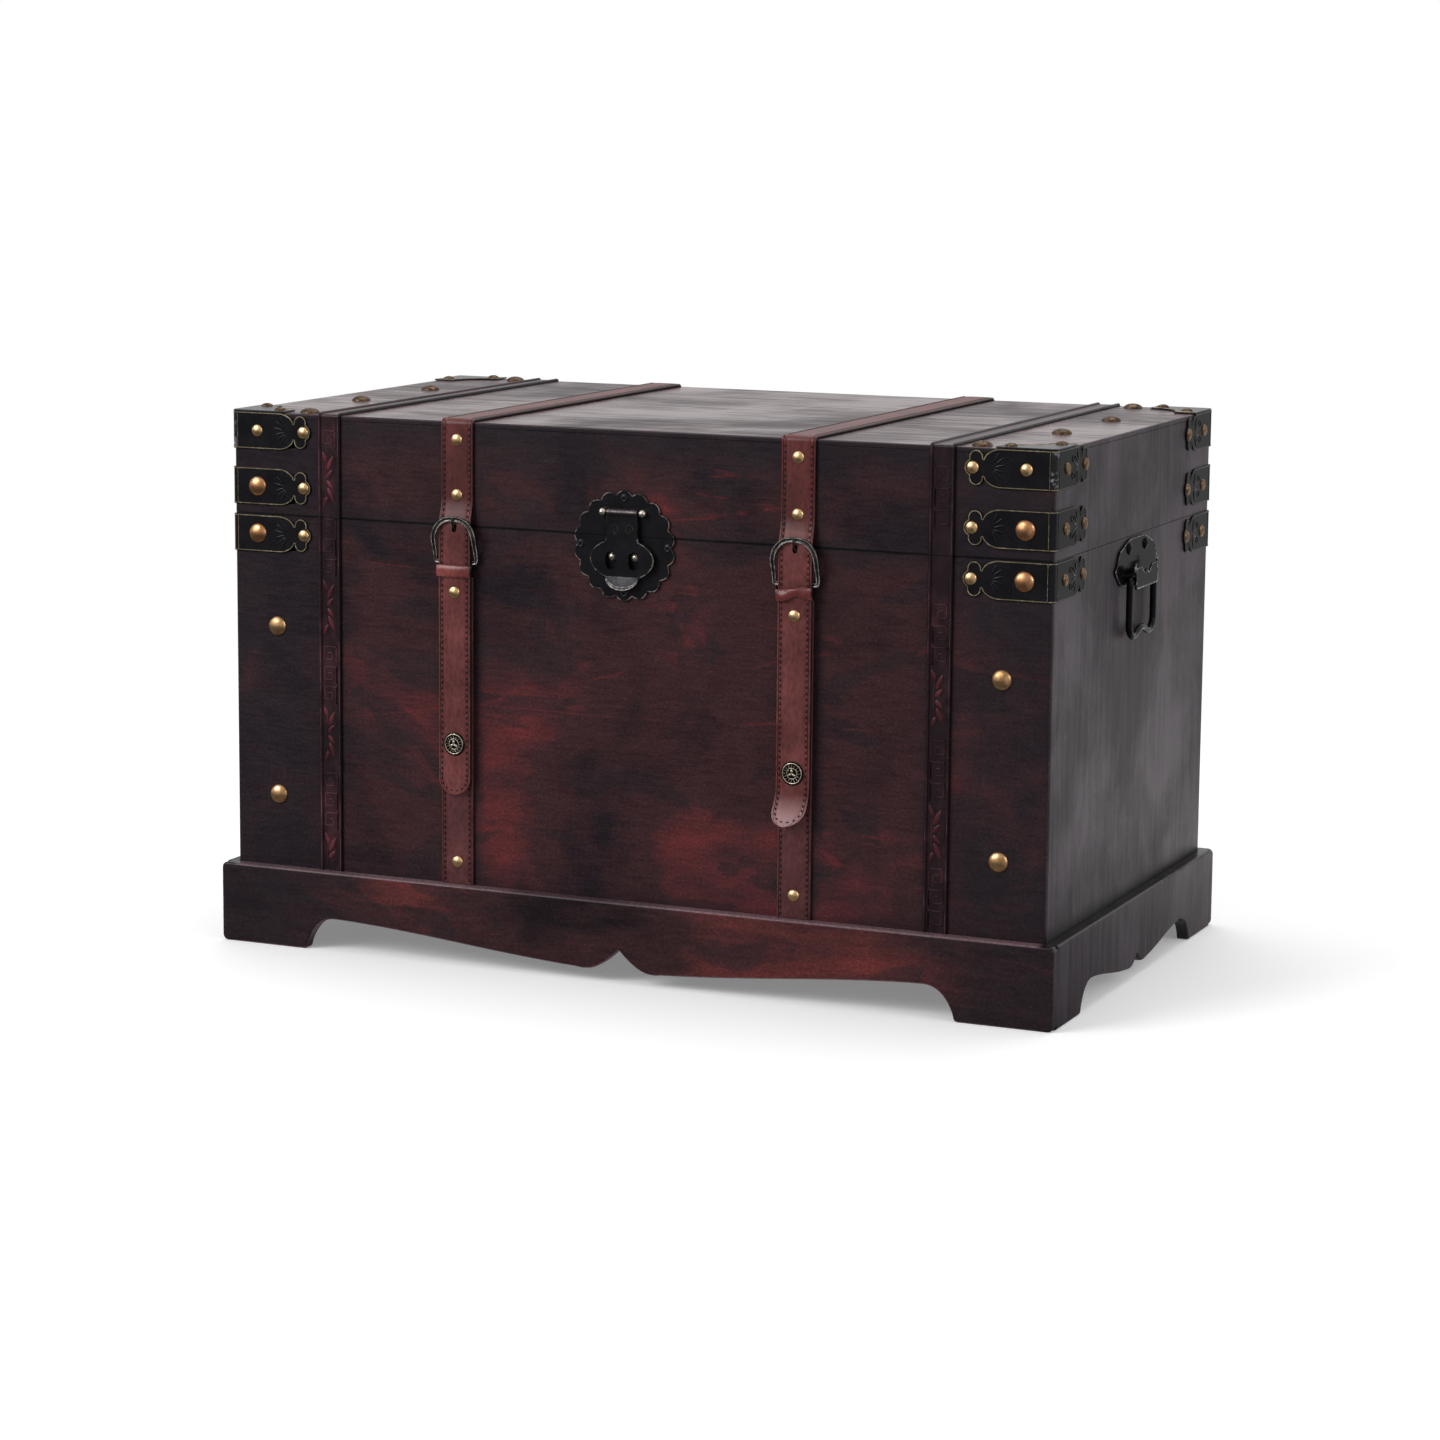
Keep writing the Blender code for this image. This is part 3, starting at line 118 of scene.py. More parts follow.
class Finish:
    """A material whose node tree is built up step by step. Patterns read the chest's own coordinates."""

    def __init__(self, name, roughness=0.5, metallic=0.0, **sockets):
        self.material = bpy.data.materials.new(name)
        self.material.use_nodes = True
        self.tree = self.material.node_tree
        self.shader = self.tree.nodes["Principled BSDF"]
        self.shader.inputs["Roughness"].default_value = roughness
        self.shader.inputs["Metallic"].default_value = metallic
        for socket, value in sockets.items():
            self.shader.inputs[socket.replace("_", " ")].default_value = value
        self.spot = self.add("TexCoord").outputs["Object"]

    def add(self, kind, inputs=None, **settings):
        node = self.tree.nodes.new("ShaderNode" + kind)
        for setting, value in settings.items():
            setattr(node, setting, value)
        for key, value in (inputs or {}).items():
            self.feed(node.inputs[key], value)
        return node

    def feed(self, socket, value):
        if isinstance(value, bpy.types.NodeSocket):
            self.tree.links.new(value, socket)
        else:
            socket.default_value = value

    def stretched(self, scale, turn=(0, 0, 0), shift=(0, 0, 0)):
        inputs = {"Vector": self.spot, "Scale": scale, "Rotation": turn, "Location": shift}
        return self.add("Mapping", inputs).outputs["Vector"]

    def noise(self, scale, place=None, detail=3.0, rough=0.5, bend=0.0):
        inputs = {"Vector": place or self.spot, "Scale": scale, "Detail": detail, "Roughness": rough,
                  "Distortion": bend}
        return self.add("TexNoise", inputs).outputs["Fac"]

    def cells(self, scale):
        inputs = {"Vector": self.spot, "Scale": scale}
        return self.add("TexVoronoi", inputs, feature="F1").outputs["Distance"]

    def ramp(self, value, *stops):
        node = self.add("ValToRGB", {"Fac": value})
        points = node.color_ramp.elements
        while len(points) < len(stops):
            points.new(0.5)
        for point, (place, colour) in zip(points, stops):
            point.position = place
            point.color = (*colour, 1.0) if isinstance(colour, tuple) else (colour, colour, colour, 1.0)
        return node.outputs["Color"]

    def fade(self, value, start, end, most=1.0):
        """Rises from 0 to most while the value goes from start to end."""
        return self.ramp(value, (start, 0.0), (end, most))

    def math(self, operation, first, second=0.0):
        return self.add("Math", {0: first, 1: second}, operation=operation).outputs[0]

    def times(self, first, second):
        return self.math("MULTIPLY", first, second)

    def most(self, first, second):
        return self.math("MAXIMUM", first, second)

    def beyond(self, value, start, scale=1.0):
        """How far the value lies beyond start, drawn out to a ramp's scale."""
        return self.times(self.math("SUBTRACT", value, start), scale)

    def apart(self, first, second):
        return self.math("ABSOLUTE", self.math("SUBTRACT", first, second))

    def weighted(self, *patterns):
        """The sum of patterns, each at its share."""
        parts = [self.times(value, share) for value, share in patterns]
        total = parts[0]
        for part in parts[1:]:
            total = self.math("ADD", total, part)
        return total

    def mix(self, share, first, second, blend="MIX"):
        inputs = {0: share, 6: first, 7: second}
        for key in (6, 7):
            if isinstance(inputs[key], tuple):
                inputs[key] = (*inputs[key], 1.0)
        return self.add("Mix", inputs, data_type="RGBA", blend_type=blend).outputs[2]

    def shaded(self, tone, pattern):
        return self.mix(1.0, tone, pattern, "MULTIPLY")

    def axis(self, letter, vector=None):
        return self.add("SeparateXYZ", {0: vector or self.spot}).outputs[letter]

    def facing(self, letter):
        """How far the surface faces along an axis, to either side, in the chest's own coordinates."""
        normal = self.add("TexCoord").outputs["Normal"]
        return self.math("ABSOLUTE", self.axis(letter, normal))

    def colour(self, value):
        self.feed(self.shader.inputs["Base Color"], value)

    def gloss(self, value, low, high):
        """Roughness that runs from low to high with a pattern's value."""
        spread = self.add("MapRange", {"Value": value, "To Min": low, "To Max": high})
        self.feed(self.shader.inputs["Roughness"], spread.outputs["Result"])

    def bump(self, height, distance, strength=1.0, under=None):
        inputs = {"Height": height, "Distance": distance, "Strength": strength}
        if under:
            inputs["Normal"] = under
        normal = self.add("Bump", inputs).outputs["Normal"]
        self.feed(self.shader.inputs["Normal"], normal)
        return normal


# Materials


# Colours of the stain, linear; where there are two, each with the pattern's value that it belongs to
# Near black: the seam's slit, and the cut sides of straps and trim, which also carry painted shade
BLACKENED_AND_SHADE = (0.0030, 0.0024, 0.0028)
WIPED_DARK = (0.0165, 0.0112, 0.0152)
# The dark of the edges, and the painted shadow beside the straps
BURNT_AND_STRAP_SHADOW = (0.0150, 0.0100, 0.0140)
PLINTH_ENDS = (0.0120, 0.0085, 0.0120)
CHARCOAL = (0.32, (0.0130, 0.0092, 0.0128)), (0.68, (0.0385, 0.0262, 0.0348))
WORN_CHARCOAL = (0.078, 0.055, 0.070)
# Painted shade on the chest's ends just above the plinth
PLINTH_JOINT_SHADE = (0.0060, 0.0048, 0.0058)
# The lid's top: polished, and lighter and paler than the front partly as a painted sheen
LID_POLISH_AND_SHEEN = (0.41, (0.021, 0.0080, 0.0115)), (0.60, (0.086, 0.031, 0.040))
# The plinth's top ledge: a painted highlight, and painted shade on it along the chest's ends
LEDGE_HIGHLIGHT = (0.41, (0.060, 0.034, 0.042)), (0.60, (0.170, 0.105, 0.118))
LEDGE_END_SHADE = (0.0100, 0.0070, 0.0090)
# The trim's top on the lid: polished, and lighter partly as a painted sheen
TRIM_POLISH_AND_SHEEN = (0.4, (0.022, 0.010, 0.014)), (0.6, (0.062, 0.028, 0.035))


def burnt_edges_and_strap_shadow(wood, stain, swirl, outwards):
    """Dark along the boards' ends, foot, rim and seam, with the seam's slit, and a painted shadow beside
    the straps.
    """
    height = wood.math("DIVIDE", wood.axis("Z"), LID_TOP)
    joint = wood.apart(wood.axis("Z"), SEAM)
    stile = wood.fade(outwards, 0.66, 0.84)
    foot = wood.ramp(height, (0.15, 0.5), (0.22, 0.0))
    rim = wood.fade(height, 0.90, 0.975)
    seam = wood.ramp(wood.times(joint, 40.0), (0.08, 0.70), (0.7, 0.0))
    burnt_and_shadow = wood.most(wood.most(stile, foot), wood.most(rim, seam))
    # On the front, just right of each strap, a painted shadow that fades out over about 10 mm
    front = wood.fade(wood.times(wood.axis("Y"), -1.0), 0.0, 0.01, 0.85)
    for strap in (-STRAP_CENTRE, STRAP_CENTRE):
        beside = wood.beyond(wood.axis("X"), strap + STRAP_HALF, 50.0)
        strap_shadow = wood.ramp(beside, (0.0, 0.0), (0.02, 1.0), (0.50, 0.0))
        burnt_and_shadow = wood.most(burnt_and_shadow, wood.times(front, strap_shadow))
    patchy = wood.ramp(swirl, (0.40, 1.0), (0.62, 0.74))
    stain = wood.mix(wood.times(burnt_and_shadow, patchy), stain, BURNT_AND_STRAP_SHADOW)
    slit = wood.ramp(wood.times(joint, 100.0), (0.05, 1.0), (0.14, 0.0))
    return wood.mix(slit, stain, BLACKENED_AND_SHADE)


def charcoal_sides(wood, grain, drift, edges):
    """The ends of the chest: charcoal with worn, paler clouds, and painted shade just above the plinth.
    """
    worn = wood.fade(drift, 0.42, 0.62, 0.50 if edges else 0.20)
    charcoal = wood.mix(worn, wood.ramp(grain, *CHARCOAL), WORN_CHARCOAL)
    if edges:
        # Painted shade along the joint with the plinth, fading out over about 12 mm
        low = wood.beyond(wood.axis("Z"), PLINTH_TOP, 20.0)
        charcoal = wood.mix(wood.ramp(low, (0.02, 0.95), (0.24, 0.0)), charcoal, PLINTH_JOINT_SHADE)
    return charcoal


def stained_wood(name, dark, middle, red, edges=True, run=1.0):
    """Wine-red stain in cloudy coats over fine grain, with wiped dark patches and charcoal sides.

    With edges set, the boards are darkened along their ends and the seam, with a painted shadow beside
    the straps, painted shade on the ends just above the plinth, and a top that is polished and lighter,
    partly a painted sheen; without it they are the plinth's, dark at both ends, with a painted highlight
    on the top ledge and painted shade on the ledge at the sides. A larger run draws the clouds out along
    the board.
    """
    wood = Finish(name, 0.42, 0.0, Specular_IOR_Level=0.22)
    side, top = (wood.fade(wood.facing(letter), 0.5, 0.75) for letter in "XZ")
    grain_front = wood.noise(1.0, wood.stretched((60, 60, 380)), 4.0, 0.65)
    grain_side = wood.noise(1.0, wood.stretched((190, 190, 9), shift=(3, 1, 2)), 4.0, 0.6)
    grain_top = wood.noise(1.0, wood.stretched((11, 230, 11)), 4.0, 0.6)
    grain = wood.mix(side, wood.mix(top, grain_front, grain_top), grain_side)
    drawn_out = wood.stretched((1.0 / run, 1.0, 1.15 * run), shift=(2.3, 0.4, 0.9))
    broad = wood.noise(5.2, drawn_out, 4.0, 0.56, 0.6)
    drawn_out = wood.stretched((0.9 / run, 1.0, 1.1 * run), shift=(0.3, 0.2, 0.5))
    swirl = wood.noise(24.0, drawn_out, 5.0, 0.62, 0.4)
    brushed = wood.noise(34.0, wood.stretched((0.25, 1.0, 1.6)), 4.0, 0.6, 0.3)
    mottle = wood.weighted((broad, 0.70), (swirl, 0.16), (brushed, 0.16))
    stain = wood.ramp(mottle, (0.405, dark), (0.490, middle), (0.540, middle), (0.655, red))
    wiping = wood.noise(9.0, wood.stretched((0.7, 1.0, 1.5), shift=(5.1, 2.0, 1.3)), 3.0, 0.5, 2.2)
    stain = wood.mix(wood.fade(wiping, 0.560, 0.600, 0.55), stain, WIPED_DARK)
    streak = wood.noise(4.6, wood.stretched((0.30, 1.0, 2.4), shift=(1.7, 0.6, 0.2)), 2.0, 0.45, 0.5)
    vein = wood.ramp(wood.apart(streak, 0.5), (0.0, 0.60), (0.0040, 0.0))
    stain = wood.mix(wood.times(vein, wood.fade(swirl, 0.47, 0.56)), stain, red)
    outwards = wood.math("DIVIDE", wood.math("ABSOLUTE", wood.axis("X")), HALF_LENGTH)
    if edges:
        stain = burnt_edges_and_strap_shadow(wood, stain, swirl, outwards)
        # The lid's top takes its polish, lightened in part as a painted sheen
        upward, top_tone_and_painted_light = top, wood.ramp(mottle, *LID_POLISH_AND_SHEEN)
    else:
        stain = wood.mix(wood.fade(outwards, 0.60, 0.86, 0.75), stain, PLINTH_ENDS)
        # The plinth's ledge and rounded top edge carry a painted highlight, with painted shade on the
        # ledge at the sides
        upward = wood.fade(wood.facing("Z"), 0.30, 0.60)
        ledge = wood.ramp(mottle, *LEDGE_HIGHLIGHT)
        top_tone_and_painted_light = wood.mix(wood.fade(outwards, 0.985, 1.0), ledge, LEDGE_END_SHADE)
    drift = wood.noise(13.0, wood.stretched((1.0, 1.0, 0.80), shift=(0.7, 4.2, 1.1)), 5.0, 0.62, 0.3)
    stain = wood.mix(side, stain, charcoal_sides(wood, grain_side, drift, edges))
    stain = wood.mix(upward, stain, top_tone_and_painted_light)
    flecks = wood.ramp(grain, (0.30, 0.84), (0.50, 1.0), (0.72, 1.14))
    speck = wood.noise(620.0, wood.stretched((0.7, 1.0, 1.0)), 2.0, 0.6)
    dots = wood.ramp(speck, (0.34, 0.76), (0.52, 1.0), (0.68, 1.32))
    wood.colour(wood.shaded(wood.shaded(stain, flecks), dots))
    polish = wood.weighted((grain, 0.35), (mottle, 0.65))
    shine = wood.ramp(polish, (0.40, 0.33), (0.60, 0.56))
    shine_side = wood.ramp(wood.mix(0.12, drift, grain_side), (0.38, 0.49), (0.62, 0.38))
    shine_top = wood.ramp(polish, (0.42, 0.44), (0.56, 0.17))
    shine = wood.mix(upward, wood.mix(side, shine, shine_side), shine_top)
    wood.feed(wood.shader.inputs["Roughness"], shine)
    under = wood.bump(grain, 0.00009, 0.5)
    wood.bump(speck, 0.00003, 0.5, under)
    return wood.material


def strap_leather(name, base, tint, dull=0.34, tip=None):
    """Pulled-up leather: cloudy colour, fine creases and pores, dark cut edges with painted shade, a
    paler, rubbed curled tip with a painted highlight.
    """
    hide = Finish(name, 0.42, 0.0, Specular_IOR_Level=0.35)
    cloud = hide.noise(34.0, None, 3.0, 0.55, 0.5)
    creases = hide.noise(420.0, hide.stretched((1.0, 1.0, 0.45)), 3.0, 0.6)
    speck = hide.ramp(creases, (0.32, 0.74), (0.50, 1.0), (0.66, 1.15))
    tone = hide.shaded(hide.ramp(cloud, (0.32, base), (0.68, tint)), speck)
    # On the right tail the curled tip is paler: rubbed leather and a painted highlight where it curls out
    if tip:
        low = hide.beyond(hide.axis("Z"), TAIL_END, 10.0)
        right_tail = hide.fade(hide.axis("X"), 0.0, 0.01)
        rubbed_and_highlit_tip = hide.times(hide.ramp(low, (0.06, 0.95), (0.22, 0.0)), right_tail)
        tone = hide.mix(rubbed_and_highlit_tip, tone, tip)
    # Cut edges near black, reaching onto their rounding: dark edge and painted shade
    hide.colour(hide.mix(hide.fade(hide.facing("X"), 0.55, 0.80), tone, BLACKENED_AND_SHADE))
    hide.gloss(creases, dull, dull + 0.18)
    under = hide.bump(creases, 0.00016, 0.6)
    hide.bump(hide.cells(1500.0), 0.00008, 0.35, under)
    return hide.material


def lacquered_metal(name, base, worn, share, roughness, metallic=0.0, level=0.5):
    """A dark coat over metal that shows through where the noise wears it thin."""
    coat = Finish(name, roughness, metallic, Specular_IOR_Level=level)
    rubbed = coat.fade(coat.noise(240.0, None, 5.0, 0.65), 1.0 - share, min(1.0, 1.12 - share))
    tone = coat.mix(coat.fade(coat.noise(55.0), 0.35, 0.7), base, tuple(c * 1.7 for c in base))
    coat.colour(coat.mix(rubbed, tone, worn))
    coat.gloss(coat.noise(130.0), roughness * 0.75, roughness * 1.3)
    coat.bump(coat.noise(700.0, None, 2.0), 0.00004, 0.5)
    return coat.material


def embossed_finish(name, base, rubbed, share):
    """The trim's stained, waxed face, rubbed lighter in places; polished on the lid's top, with a painted
    sheen, and near-black sides, partly painted shade.
    """
    trim = Finish(name, 0.40, 0.0, Specular_IOR_Level=0.22)
    top = trim.fade(trim.facing("Z"), 0.5, 0.75)
    wear = trim.noise(150.0, trim.stretched((1.0, 1.0, 0.5)), 4.0, 0.6)
    drift = trim.noise(14.0, trim.stretched((1.0, 1.0, 0.8), shift=(0.4, 0.9, 0.1)), 3.0, 0.5)
    both = trim.weighted((wear, 0.5), (drift, 0.5))
    tone = trim.mix(trim.fade(both, 0.60 - share, 0.78 - share), base, rubbed)
    tone = trim.mix(top, tone, trim.ramp(both, *TRIM_POLISH_AND_SHEEN))
    # The sides that face away from the strip's middle are near black: dark edges and painted shade
    along = trim.axis("X")
    offset = trim.math("SUBTRACT", along, trim.times(trim.math("SIGN", along), STRIP_CENTRE))
    lean = trim.times(offset, trim.axis("X", trim.add("TexCoord").outputs["Normal"]))
    sawn = trim.fade(trim.math("DIVIDE", lean, STRIP_HALF), 0.40, 0.65)
    trim.colour(trim.mix(sawn, tone, BLACKENED_AND_SHADE))
    spread = trim.ramp(wear, (0.35, 0.32), (0.65, 0.46))
    trim.feed(trim.shader.inputs["Roughness"], trim.mix(top, spread, (0.34, 0.34, 0.34)))
    trim.bump(trim.noise(600.0, None, 2.0), 0.00004, 0.5)
    return trim.material


def cast_metal(name, base, shade, roughness, scale=300.0, pitted=0.4):
    """Antique cast metal with darker tarnish in patches."""
    metal = Finish(name, roughness, 1.0)
    tarnish = metal.fade(metal.noise(scale, None, 4.0, 0.6), 0.38, 0.62)
    metal.colour(metal.mix(tarnish, shade, base))
    metal.gloss(tarnish, roughness * 1.5, roughness)
    metal.bump(metal.noise(scale * 1.6, None, 2.0), 0.00006, pitted)
    return metal.material


WOOD = stained_wood("oxblood_wood", (0.0145, 0.0084, 0.0122), (0.0400, 0.0130, 0.0153),
                    (0.1280, 0.0170, 0.0190))
PLINTH_WOOD = stained_wood("plinth_wood", (0.0130, 0.0072, 0.0095), (0.0340, 0.0120, 0.0140),
                           (0.1250, 0.0215, 0.0200), False, 1.7)
LID_LEATHER = strap_leather("lid_leather", (0.066, 0.0122, 0.0122), (0.120, 0.0238, 0.0228))
# The last colour is the right tail's curled tip: rubbed leather and a painted highlight
TAIL_LEATHER = strap_leather("tail_leather", (0.094, 0.0202, 0.0202), (0.160, 0.0400, 0.0385), 0.34,
                            (0.300, 0.155, 0.160))
LOWER_LEATHER = strap_leather("lower_leather", (0.071, 0.0185, 0.0200), (0.112, 0.0305, 0.0320))
KEEPER_LEATHER = strap_leather("keeper_leather", (0.110, 0.0210, 0.0210), (0.240, 0.0640, 0.0600), 0.16)
THREAD = strap_leather("dark_thread", (0.0070, 0.0042, 0.0042), (0.0140, 0.0075, 0.0070))
TRIM_GROUND = embossed_finish("trim_ground", (0.0165, 0.0080, 0.0105), (0.0420, 0.0140, 0.0185), 0.12)
TRIM_KEY = embossed_finish("trim_key", (0.0310, 0.0120, 0.0150), (0.0980, 0.0340, 0.0400), 0.14)
TRIM_LEAF = embossed_finish("trim_leaf", (0.0480, 0.0110, 0.0160), (0.1450, 0.0290, 0.0400), 0.14)
# Lighter lines on the beads' crests: painted highlights
TRIM_CREST_HIGHLIGHT = embossed_finish("trim_crest_highlight", (0.0340, 0.0150, 0.0210), (0.1350, 0.0580, 0.0800), 0.12)
BLACK_METAL = lacquered_metal("black_metal", (0.0062, 0.0058, 0.0074), (0.0160, 0.0150, 0.0176),
                              0.38, 0.26, level=0.20)
GLOSS_BLACK = lacquered_metal("gloss_black", (0.0034, 0.0028, 0.0036), (0.0120, 0.0105, 0.0125),
                              0.40, 0.16, level=0.045)
BAIL_BLACK = lacquered_metal("bail_black", (0.0036, 0.0036, 0.0040), (0.0900, 0.0480, 0.0300),
                             0.34, 0.14, level=0.12)
AGED_LINE = lacquered_metal("aged_line", (0.190, 0.150, 0.090), (0.480, 0.410, 0.270), 0.50, 0.35, 0.5)
# dim_line: a dark line for the flap's scrolls, and on the brackets' end legs the brass line drawn dark as
# painted shade
DIM_LINE = lacquered_metal("dim_line", (0.0160, 0.0150, 0.0120), (0.120, 0.098, 0.068), 0.42, 0.35, 0.3)
WORN_RIM = lacquered_metal("worn_rim", (0.026, 0.026, 0.026), (0.340, 0.290, 0.250), 0.54, 0.30, 0.5)
# The cap's fold: black rubbed pale, the pale partly a painted highlight
FOLD_WEAR_AND_GLINT = lacquered_metal("fold_wear_and_glint", (0.0080, 0.0072, 0.0090), (0.2400, 0.2250, 0.2500),
                             0.46, 0.30, level=0.32)
SCREW_RIM = lacquered_metal("screw_rim", (0.028, 0.030, 0.031), (0.075, 0.078, 0.078), 0.50, 0.28, 0.4)
# Bright lines on the handle plate's and clip's edges, lip and ears: worn silver and painted highlights
HANDLE_WEAR_AND_GLINT = lacquered_metal("handle_wear_and_glint", (0.0200, 0.0200, 0.0205), (0.4200, 0.4000, 0.3850),
                              0.55, 0.25, 0.4)
# Bright lines on the buckle's edges and the thumb tab's lip and ridge: rubbed nickel and painted
# highlights
RUBBED_NICKEL_AND_GLINT = lacquered_metal("rubbed_nickel_and_glint", (0.160, 0.150, 0.145), (0.560, 0.520, 0.480),
                                0.56, 0.30, 0.6)
BRIGHT_BRASS = cast_metal("bright_brass", (1.00, 0.70, 0.37), (0.92, 0.58, 0.27), 0.27, 500.0, 0.15)
GOLD_BRASS = cast_metal("gold_brass", (0.90, 0.58, 0.30), (0.50, 0.27, 0.12), 0.29, 200.0, 0.2)
COPPER_BRASS = cast_metal("copper_brass", (0.86, 0.46, 0.23), (0.50, 0.23, 0.10), 0.27, 260.0, 0.2)
# The brackets' end-leg nails: the brass drawn darker as painted shade
SHADED_SIDE_BRASS = cast_metal("shaded_side_brass", (0.27, 0.175, 0.10), (0.12, 0.070, 0.040), 0.34, 420.0)
# Nails on the lid's top: the brass drawn dark as painted shade
SHADED_TOP_BRASS = cast_metal("shaded_top_brass", (0.130, 0.088, 0.052), (0.050, 0.030, 0.022), 0.40, 420.0)
ANTIQUE_SILVER = cast_metal("antique_silver", (0.92, 0.84, 0.71), (0.50, 0.43, 0.34), 0.30, 700.0, 0.2)
DARK_NICKEL = cast_metal("dark_nickel", (0.032, 0.028, 0.026), (0.012, 0.011, 0.011), 0.28, 500.0)
BLACK_NICKEL = cast_metal("black_nickel", (0.140, 0.130, 0.128), (0.045, 0.041, 0.042), 0.30, 260.0, 0.2)
KNUCKLE_METAL = cast_metal("knuckle_metal", (0.135, 0.118, 0.122), (0.070, 0.062, 0.064),
                           0.34, 200.0, 0.1)
TAB_STEEL = cast_metal("tab_steel", (0.108, 0.104, 0.112), (0.072, 0.069, 0.075), 0.40, 180.0, 0.1)


# Modelling helpers


def alone(piece):
    """Make a piece the only one selected."""
    bpy.ops.object.select_all(action="DESELECT")
    piece.select_set(True)
    bpy.context.view_layer.objects.active = piece


def added(name, material):
    """Name the primitive that was just added, and give it its material."""
    piece = bpy.context.object
    piece.name = name
    piece.data.name = name
    piece.data.materials.clear()
    piece.data.materials.append(material)
    return piece


def pick(piece, kind, chosen):
    """In edit mode, select only the faces, edges or points that the test chooses."""
    bpy.ops.mesh.select_mode(type=kind)
    bpy.ops.mesh.select_all(action="DESELECT")
    shape = bmesh.from_edit_mesh(piece.data)
    parts = {"VERT": shape.verts, "EDGE": shape.edges, "FACE": shape.faces}[kind]
    for part in parts:
        if chosen(part):
            part.select_set(True)
    bmesh.update_edit_mesh(piece.data)


def middle(edge):
    return (edge.verts[0].co + edge.verts[1].co) / 2


def smooth(piece, degrees=35.0):
    """Round shading that leaves the large flat faces flat."""
    alone(piece)
    bpy.ops.object.shade_smooth_by_angle(angle=math.radians(degrees))
    even = piece.modifiers.new("Even shading", "WEIGHTED_NORMAL")
    even.keep_sharp = True
    bpy.ops.object.modifier_apply(modifier=even.name)
    return piece


def settle(piece, body, *nodes, slot=None, angle=35.0):
    """Smooth a finished piece, hang it on its body and let it stand for its nodes."""
    smooth(piece, angle)
    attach(piece, body)
    if nodes:
        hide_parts(*nodes)
    return piece


def round_edges(piece, chosen, radius, segments=3):
    alone(piece)
    bpy.ops.object.mode_set(mode="EDIT")
    pick(piece, "EDGE", chosen)
    bpy.ops.mesh.bevel(offset=radius, segments=segments, affect="EDGES")
    bpy.ops.object.mode_set(mode="OBJECT")


def board(name, low, high, material):
    """A sawn board: a cube at its size and place."""
    low, high = Vector(low), Vector(high)
    bpy.ops.mesh.primitive_cube_add(size=1.0, location=(low + high) / 2)
    piece = added(name, material)
    piece.scale = high - low
    bpy.ops.object.transform_apply(location=True, rotation=True, scale=True)
    return piece


def plate(name, face, outline, inner, outer, material, edge=0.0004, skip=None, segments=2):
    """A flat piece with any outline: a circle's points are moved to it, it is drawn out, its rim eased.

    inner and outer are its heights above the face; skip leaves an edge of the rim sharp.
    """
    bpy.ops.mesh.primitive_circle_add(vertices=len(outline), radius=1.0, fill_type="NGON")
    piece = added(name, material)
    for point, (a, b) in zip(piece.data.vertices, outline):
        point.co = face.point(a, b, inner)
    bpy.ops.object.mode_set(mode="EDIT")
    bpy.ops.mesh.select_all(action="SELECT")
    drawn = {"value": face.out * (outer - inner)}
    bpy.ops.mesh.extrude_region_move(TRANSFORM_OT_translate=drawn)
    bpy.ops.mesh.select_all(action="SELECT")
    bpy.ops.mesh.normals_make_consistent(inside=False)
    if edge:
        top = face.point(0, 0, outer).dot(face.out)

        def rim(part):
            level = all(abs(vert.co.dot(face.out) - top) < 1e-5 for vert in part.verts)
            return level and not (skip and skip(middle(part)))

        pick(piece, "EDGE", rim)
        bpy.ops.mesh.bevel(offset=edge, segments=segments, affect="EDGES")
    bpy.ops.object.mode_set(mode="OBJECT")
    return piece


def arc(centre_a, centre_b, radius, start, end, steps):
    """Points along part of a circle, from one angle in degrees to another."""
    points = []
    for i in range(steps + 1):
        turn = math.radians(start + (end - start) * i / steps)
        points.append((centre_a + radius * math.cos(turn), centre_b + radius * math.sin(turn)))
    return points


def oval(u, v, width, height, sides):
    """Offsets round an oval, width along u and height along v, for a bar's cross-section."""
    turns = [math.tau * k / sides for k in range(sides)]
    return [u * math.cos(t) * width + v * math.sin(t) * height for t in turns]


# Stage

# How bright the surroundings look in what shines: the air in front of the chest and behind it, the floor
# from 1 m in front to 3 m behind as (share of that way, brightness), and the floor beside the chest
WORLD_FRONT = 0.38
WORLD_BACK = 0.76
FLOOR_DEPTH = ((0.10, 0.05), (0.20, 0.14), (0.29, 0.42), (0.37, 0.98), (0.55, 0.82), (0.78, 0.50))
FLOOR_RIGHT = 0.30


